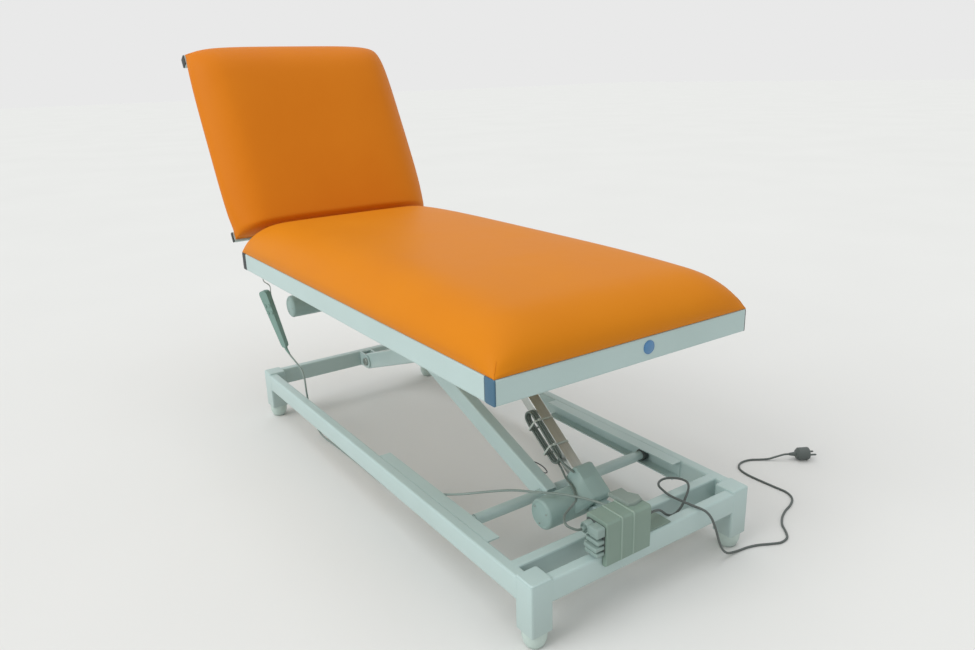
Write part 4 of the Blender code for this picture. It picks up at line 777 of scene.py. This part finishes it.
def upholster(name, node, body, look, size, rounds, swell, origin, turn):
    """Pad of a foam core under a stretched cover, hollow below for its board, in the place of its solid."""
    points, faces, held, depth, counts = pad_form(*size, rounds, swell, PAD_STEP)
    made = piece(name, [(points, faces)], look)
    stuffed(made, held, PAD_GIVE)
    flat = np.zeros(len(points) * 3)
    made.data.vertices.foreach_get("co", flat)
    points = flat.reshape(-1, 3)
    points[:, 2] = np.where(depth > BOARD_INSET - POCKET_MARGIN, POCKET_HIGH, points[:, 2])
    points = placed((points, None), origin, turn)[0]
    made.data.vertices.foreach_set("co", points.astype(np.float32).ravel())
    made.data.update()
    made.data.shade_smooth()
    finer = made.modifiers.new("finer", "SUBSURF")
    finer.levels = finer.render_levels = 1
    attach(made, body)
    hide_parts(node)
    grid = points[:counts[0] * counts[1]].reshape(*counts, 3)
    piece(name + "_corner_seams", corner_seams(grid), look, body)


seat_middle = ((FOOT_X + HEAD_X) / 2, 0.0, BED_TOP + SLIP)
upholster("seat_cushion", "seat_pad", "bed", ORANGE, SEAT_SIZE, SEAT_ROUNDS, SEAT_SWELL, seat_middle, 0.0)
from_hinge = np.array((-(0.0087 + BACK_SIZE[0] / 2), 0.006, -0.0356))
back_middle = from_hinge @ axes(BACK_ANGLE).T + np.array(HINGE)
upholster("backrest_cushion", "backrest_pad", "backrest", ORANGE_BACK_SHADED, BACK_SIZE, BACK_ROUNDS, BACK_SWELL,
          back_middle, BACK_ANGLE)


# Tube end caps and the bare badge

CAP_STEPS = ((0.0, -0.0005), (0.0, 0.0016), (0.0006, 0.0024), (0.0022, 0.0030))
CAP_SIDE = 0.322
HANDS = (("left", -1, "-y"), ("right", 1, "+y"))


def cap_tubes():
    """Push-in caps: a rounded rectangle with a softened outer edge, on the open ends of the cross tubes."""
    for end, x in (("head", HEAD_X + 0.015), ("foot", FOOT_X - 0.015)):
        for side, hand, towards in HANDS:
            shape = facing(moulded(outline(0.030, 0.050, 0.004), CAP_STEPS), towards)
            look = BLUE_CAP if (end, side) == ("foot", "left") else DARK_CAP
            piece("bed_cap_%s_%s" % (end, side), [placed(shape, (x, hand * CAP_SIDE, BED_MID))], look, "bed")
    level = {"upper": (-0.6017, -0.0509, 0.030), "lower": (-0.019, -0.0424, 0.013)}
    for where, (along, below, tall) in level.items():
        for side, hand, towards in HANDS:
            shape = facing(moulded(outline(0.030, tall, 0.003), CAP_STEPS), towards)
            cap = placed(placed(shape, (along, hand * CAP_SIDE, below)), HINGE, BACK_ANGLE)
            piece("backrest_cap_%s_%s" % (where, side), [cap], DARK_CAP, "backrest")


cap_tubes()

badge = turned(((0.0140, 0.0), (0.0140, 0.0012), (0.0134, 0.0018), (0.0126, 0.0019), (0.0122, 0.0015),
                (0.0105, 0.0020), (0.0070, 0.0026), (0.0030, 0.0029), (0.0004, 0.0030)), 40)
piece("badge_blank", [placed(facing(badge, "+x"), (FOOT_X, 0.038, 0.509))], BLUE, "bed")


# Control box trim

def box_rib(y, half):
    """Half-round rib: an oval section carried up the box's front, round its edge and back over its top."""
    front, back, low, high, r = 0.873, 0.8145, 0.1300, 0.220, 0.004
    bend = np.linspace(0.0, math.pi / 2, 7)
    over = np.column_stack([front - r + r * np.cos(bend), np.full(7, y), high - r + r * np.sin(bend)])
    path = np.vstack([[(front, y, low)], [(front, y, 0.17)], over, [(0.84, y, high)], [(back + r, y, high)]])
    normal = np.vstack([[(1, 0, 0)] * 2, np.column_stack([np.cos(bend), np.zeros(7), np.sin(bend)]),
                        [(0, 0, 1)] * 2])
    angle = np.linspace(0.0, 2 * math.pi, 16, endpoint=False)
    side = half * np.cos(angle)
    rise = np.where(np.sin(angle) > 0, 0.0018, 0.0006) * np.sin(angle)
    loops = path[:, None] + side[None, :, None] * np.array((0, 1, 0)) + rise[None, :, None] * normal[:, None]
    return loft(loops)


piece("control_box_ribs", [box_rib(-0.092, 0.0020), box_rib(-0.0615, 0.0020)], HIGHLIT_RIB, "base")


def box_plugs():
    """Plugs on the box's left end, each a rounded outline drawn in at its outer edge: a dark socket plate,
    whose dark colour is painted shade in the gaps between the plugs, a hollow round connector, a deep block,
    three flat plugs one under the other and a small round one."""
    face = BOX_LEFT - SLIP
    plate = moulded(outline(0.050, 0.060, 0.004), ((0, 0), (0, 0.0016), (0.0008, 0.0022)))
    # Dark socket plate behind the plugs: painted shade in the gaps between them.
    piece("control_box_socket_plate_painted_shade", [placed(facing(plate, "-y"), (0.843, face, 0.1815))], NYLON, "base")
    collar = turned(((0.0125, 0.002), (0.0125, 0.017), (0.0115, 0.0185), (0.0095, 0.0185), (0.0090, 0.0150),
                     (0.0045, 0.0150), (0.0042, 0.0245), (0.0030, 0.0247)), 32)
    shapes = [(collar, 0.8305, 0.198)]
    blocks = ((0.856, 0.2015, 0.027, 0.021, 0.004, 0.020), (0.850, 0.1795, 0.036, 0.0085, 0.003, 0.017),
              (0.850, 0.1670, 0.036, 0.0085, 0.003, 0.022), (0.850, 0.1545, 0.036, 0.0085, 0.003, 0.019))
    for x, z, wide, tall, corner, deep in blocks:
        steps = ((0.0, 0.0018), (0.0, deep - 0.0015), (0.0005, deep - 0.0005), (0.0015, deep))
        shapes.append((moulded(outline(wide, tall, corner), steps), x, z))
    small = turned(((0.0065, 0.0018), (0.0065, 0.011), (0.0057, 0.012), (0.0030, 0.012)), 24)
    shapes.append((small, 0.8285, 0.162))
    plugs = [placed(facing(shape, "-y"), (x, face, z)) for shape, x, z in shapes]
    made = piece("control_box_plug_blocks", plugs, PLUG, "base")
    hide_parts("control_box_plugs")


box_plugs()

rim = np.array(((0.797, -0.058), (0.852, -0.056), (0.856, -0.042), (0.852, -0.021), (0.838, -0.0155),
                (0.818, -0.026), (0.799, -0.024)))
entry_centre = (rim.max(axis=0) + rim.min(axis=0)) / 2
entry = moulded(rim - entry_centre, ((0.0, 0.2185), (0.0, 0.2255), (0.0008, 0.2270)))
piece("lead_entry_cover", [(entry[0] + (*entry_centre, 0.0), entry[1])], COVER, "base")


# Gear housing's moulded cover

def gear_cover():
    """Moulded cover over the gears and the motor's inner end, in sections along the actuator: flat on top,
    round at its right edge, and on the left falling by a power of 1.2 from its shoulder to a foot line on
    the motor."""
    x = np.linspace(-0.1062, -0.0210, 44)
    foot_x = (-0.1062, -0.095, -0.087, -0.078, -0.070, -0.060, -0.052, -0.040, -0.030, -0.0210)
    foot_y = (-0.0192, -0.0197, -0.0265, -0.0320, -0.0365, -0.0430, -0.0485, -0.0545, -0.0570, -0.0580)
    edge_y = np.interp(x, foot_x, foot_y)[:, None]
    barrel = np.sqrt(np.clip(0.0346 ** 2 - (x - LIFT_MOTOR[0]) ** 2, 0.0, None)) - 0.0190
    edge_z = np.maximum(barrel, -0.0190)[:, None]
    from_end = np.minimum(x - x[0], x[-1] - x)
    top = (0.0312 - 0.0064 * (1 - np.clip(from_end / 0.008, 0.0, 1.0)) ** 2)[:, None]
    bend = np.linspace(0.0, math.pi / 2, 5)[None]
    fall = np.linspace(0.0, 1.0, 14)[None]
    low = np.full_like(edge_y, -0.0195)
    y = np.hstack([np.full_like(edge_y, 0.0272), 0.0242 + 0.003 * np.cos(bend) + 0 * top,
                   -0.0188 + (edge_y + 0.0188) * fall, edge_y])
    z = np.hstack([low, top - 0.003 + 0.003 * np.sin(bend), top + (edge_z - top) * fall ** 1.2, low])
    loops = np.stack([np.broadcast_to(x[:, None], y.shape), y, z], axis=-1)
    centres = loops.mean(axis=1, keepdims=True)
    drawn_in = centres + 0.95 * (loops - centres)
    loops = np.concatenate([drawn_in[:1] - (0.0008, 0, 0), loops, drawn_in[-1:] + (0.0008, 0, 0)])
    return placed(loft(loops), LIFT_PIVOT, LIFT_ANGLE)


piece("gear_cover", [gear_cover()], HOUSING, "lift_actuator")


# Ties and fastenings

def tie(along, low_y):
    """Nylon tie: a flat band round the actuator's tube and the hank beside it, with its square head."""
    right, tube_half, hank_half = 0.0156, 0.0157, 0.0197
    rim = outline(right - low_y, 2 * hank_half, 0.006)
    rim[:, 0] += (right + low_y) / 2
    rim[:, 1] *= 1 - (1 - tube_half / hank_half) * np.clip((rim[:, 0] + 0.018) / (right + 0.018), 0.0, 1.0)
    edges = ((-0.0019, 1.0), (-0.0019, 1.045), (0.0019, 1.045), (0.0019, 1.0))
    bands = np.array([np.column_stack([np.full(len(rim), along + out), rim * grow]) for out, grow in edges])
    loops = np.concatenate([bands, bands[:1]])
    head = moulded(outline(0.0060, 0.0050, 0.0008), ((0, 0), (0, 0.0030), (0.0006, 0.0036)))
    head_points = head[0] + (along, low_y * 0.7, hank_half + 0.0002)
    return [placed((loops.reshape(-1, 3), grid_faces(5, len(rim), True)), LIFT_PIVOT, LIFT_ANGLE),
            placed((head_points, head[1]), LIFT_PIVOT, LIFT_ANGLE)]


piece("lead_ties", tie(-0.172, -0.0385) + tie(-0.238, -0.0385), TIE, "lift_actuator")


def screws(centre, spread, count, radius):
    """Pan-head screws on a circle: a low dome with a hexagon socket's rim, made along +Z."""
    angle = 2 * math.pi * (np.arange(count) + 0.5) / count
    dome = turned(((radius, 0.0), (radius, 0.0008), (radius * 0.85, 0.0018), (radius * 0.55, 0.0022),
                   (radius * 0.5, 0.0012), (radius * 0.05, 0.0012)), 14)
    spots = np.column_stack([centre[0] + spread * np.cos(angle), centre[1] + spread * np.sin(angle),
                             np.full(count, centre[2])])
    return [(dome[0] + spot, dome[1]) for spot in spots]


def motor_trim(name, end_y, motor_at, pivot, turn, body):
    """Low moulded rim on a motor's end face and three small screws, in the actuator's own frame."""
    ring = turned(((0.0290, -0.0004), (0.0286, 0.0006), (0.0262, 0.0007), (0.0256, -0.0002)), 48)
    rims = [placed(facing(ring, "-y"), (motor_at[0], end_y, motor_at[1]))]
    heads = [placed(facing(shape, "-y"), (motor_at[0], end_y, motor_at[1]))
             for shape in screws((0, 0, -0.0010), 0.0215, 3, 0.0022)]
    piece(name + "_end_ring", [placed(shape, pivot, turn) for shape in rims], HOUSING, body)
    piece(name + "_screws", [placed(shape, pivot, turn) for shape in heads], ZINC, body)


motor_trim("lift_motor", -0.125, LIFT_MOTOR, LIFT_PIVOT, LIFT_ANGLE, "lift_actuator")
motor_trim("backrest_motor", -0.105, BACK_MOTOR, BACK_PIVOT, BACK_ACT_ANGLE, "backrest_actuator")


def small_fittings():
    """Sleeve where the handset's lead leaves it, grommet where the backrest's lead enters the rail, wire eye
    on the near arm, and flush filler over the welded tube joints of the base."""
    lead = from_foot(HANDSET_ROUTE[:2])
    along = (HANDSET_LOW - HANDSET_TOP) / np.linalg.norm(HANDSET_LOW - HANDSET_TOP)
    stops = [HANDSET_LOW - 0.006 * along, HANDSET_LOW, lead[0], 0.35 * lead[0] + 0.65 * lead[1]]
    path, _ = smooth_route(stops, 24)
    sleeve = carried(round_section(1.0, 16), path, np.linspace(0.0056, 0.0030, 24))
    piece("handset_lead_sleeve", [sleeve], HANDSET, "bed")

    profile = ((0.0085, 0.0004), (0.0085, -0.0012), (0.0070, -0.0026), (0.0042, -0.0030), (0.0031, -0.0022))
    grommet = turned(profile, 24)
    at = from_foot([BACKREST_ROUTE[-1]])[0]
    piece("lead_grommet", [placed(grommet, (at[0], at[1], 0.4805))], DARK_CAP, "bed")

    eye = [(0.508, -0.0262, 0.166), (0.522, -0.0215, 0.1655), (0.541, -0.0180, 0.1625),
           (0.555, -0.0175, 0.1565), (0.552, -0.0185, 0.1510), (0.541, -0.0205, 0.1495),
           (0.530, -0.0262, 0.1490)]
    path, _ = smooth_route(eye, 60)
    piece("arm_wire_eye", [carried(round_section(0.0012, 8), path)], DARK_CAP, "arm_foot")

    band = moulded(outline(0.0254, 0.0504, 0.0042), ((0.0, -0.0055), (0.0, 0.0055)))
    joints = [placed(facing(band, "+x"), (x, hand * BASE_SIDE, BASE_MID))
              for x in (-0.4565, 0.8105) for hand in (-1, 1)]
    joints += [placed(facing(band, "+y"), (0.779, hand * 0.2730, BASE_MID)) for hand in (-1, 1)]
    piece("joint_filler", joints, COAT, "base")


small_fittings()


def pivot_nuts():
    """Washer, hexagon nut and bolt's end on the outer face of each arm, at the middle where they cross."""
    for name, y, towards, body in (("near", -0.061, "-y", "arm_foot"), ("far", 0.061, "+y", "arm_head")):
        washer = turned(((0.0120, 0.0), (0.0120, 0.0012), (0.0114, 0.0016)), 28)
        nut = placed(hexagon(0.0170, 0.0075), (0.0, 0.0, 0.0012))
        end = turned(((0.0050, 0.008), (0.0050, 0.0105), (0.0042, 0.0112)), 20)
        middle = (ARM_MIDDLE[0], y, ARM_MIDDLE[1])
        stack = [placed(facing(shape, towards), middle) for shape in (washer, nut, end)]
        piece("pivot_nut_" + name, stack, ZINC, body)


pivot_nuts()


# Floor, light and background

def studio():
    """Pale floor, one broad far lamp from the left, a weaker one above, and an even pale world."""
    made, tree, place = new_finish("pale_studio_floor")
    cloud = add(tree, "TexNoise", {"Vector": place, "Scale": per(900), "Detail": 2.0})
    tone = add(tree, "Mix", {0: cloud.outputs["Fac"], 6: linear("#E0E0DE"), 7: linear("#E5E5E3")},
               data_type="RGBA")
    shader = add(tree, "BsdfPrincipled", {"Base Color": tone.outputs[2], "Roughness": 0.9,
                                          "Specular IOR Level": 0.0})
    add(tree, "OutputMaterial", {"Surface": shader.outputs["BSDF"]})
    mesh = bpy.data.meshes.new("studio_floor")
    reach = 40.0
    mesh.from_pydata([(-reach, -reach, 0), (reach, -reach, 0), (reach, reach, 0), (-reach, reach, 0)], [],
                     [(0, 1, 2, 3)])
    mesh.materials.append(made)
    floor = bpy.data.objects.new("studio_floor", mesh)
    bpy.context.scene.collection.objects.link(floor)

    lamps = (("left_lamp", (0.074, 0.843, -0.533), 1.30, 40.0), ("top_lamp", (0.05, 0.08, -1.0), 0.85, 70.0))
    for name, heading, power, spread in lamps:
        light = bpy.data.lights.new(name, "SUN")
        light.energy = power
        light.angle = math.radians(spread)
        lamp = bpy.data.objects.new(name, light)
        back = -np.array(heading) / np.linalg.norm(heading)
        side = np.cross((0.0, 1.0, 0.0) if abs(back[2]) > 0.9 else (0.0, 0.0, 1.0), back)
        side = side / np.linalg.norm(side)
        stand = np.eye(4)
        stand[:3, :3] = np.stack([side, np.cross(back, side), back], axis=1)
        stand[:3, 3] = -2.0 * np.array(heading) + (0.0, 0.0, 2.0)
        lamp.matrix_world = Matrix(stand.tolist())
        bpy.context.scene.collection.objects.link(lamp)

    world = bpy.data.worlds.new("studio_world")
    bpy.context.scene.world = world
    world.use_nodes = True
    tree = world.node_tree
    tree.nodes.clear()
    rays = add(tree, "LightPath")
    seen = add(tree, "Math", {0: rays.outputs["Is Camera Ray"], 1: rays.outputs["Is Glossy Ray"]},
               operation="ADD")
    seen = add(tree, "Math", {0: seen.outputs[0], 1: rays.outputs["Is Transmission Ray"]}, operation="ADD",
               use_clamp=True)
    even = add(tree, "Background", {"Color": linear("#F6F8F8"), "Strength": 0.64})
    pale = add(tree, "Background", {"Color": linear("#E9E9E9"), "Strength": 1.0})
    both = add(tree, "MixShader", {0: seen.outputs[0], 1: even.outputs[0], 2: pale.outputs[0]})
    add(tree, "OutputWorld", {"Surface": both.outputs[0]})
    bpy.context.scene.view_settings.view_transform = "Standard"


studio()
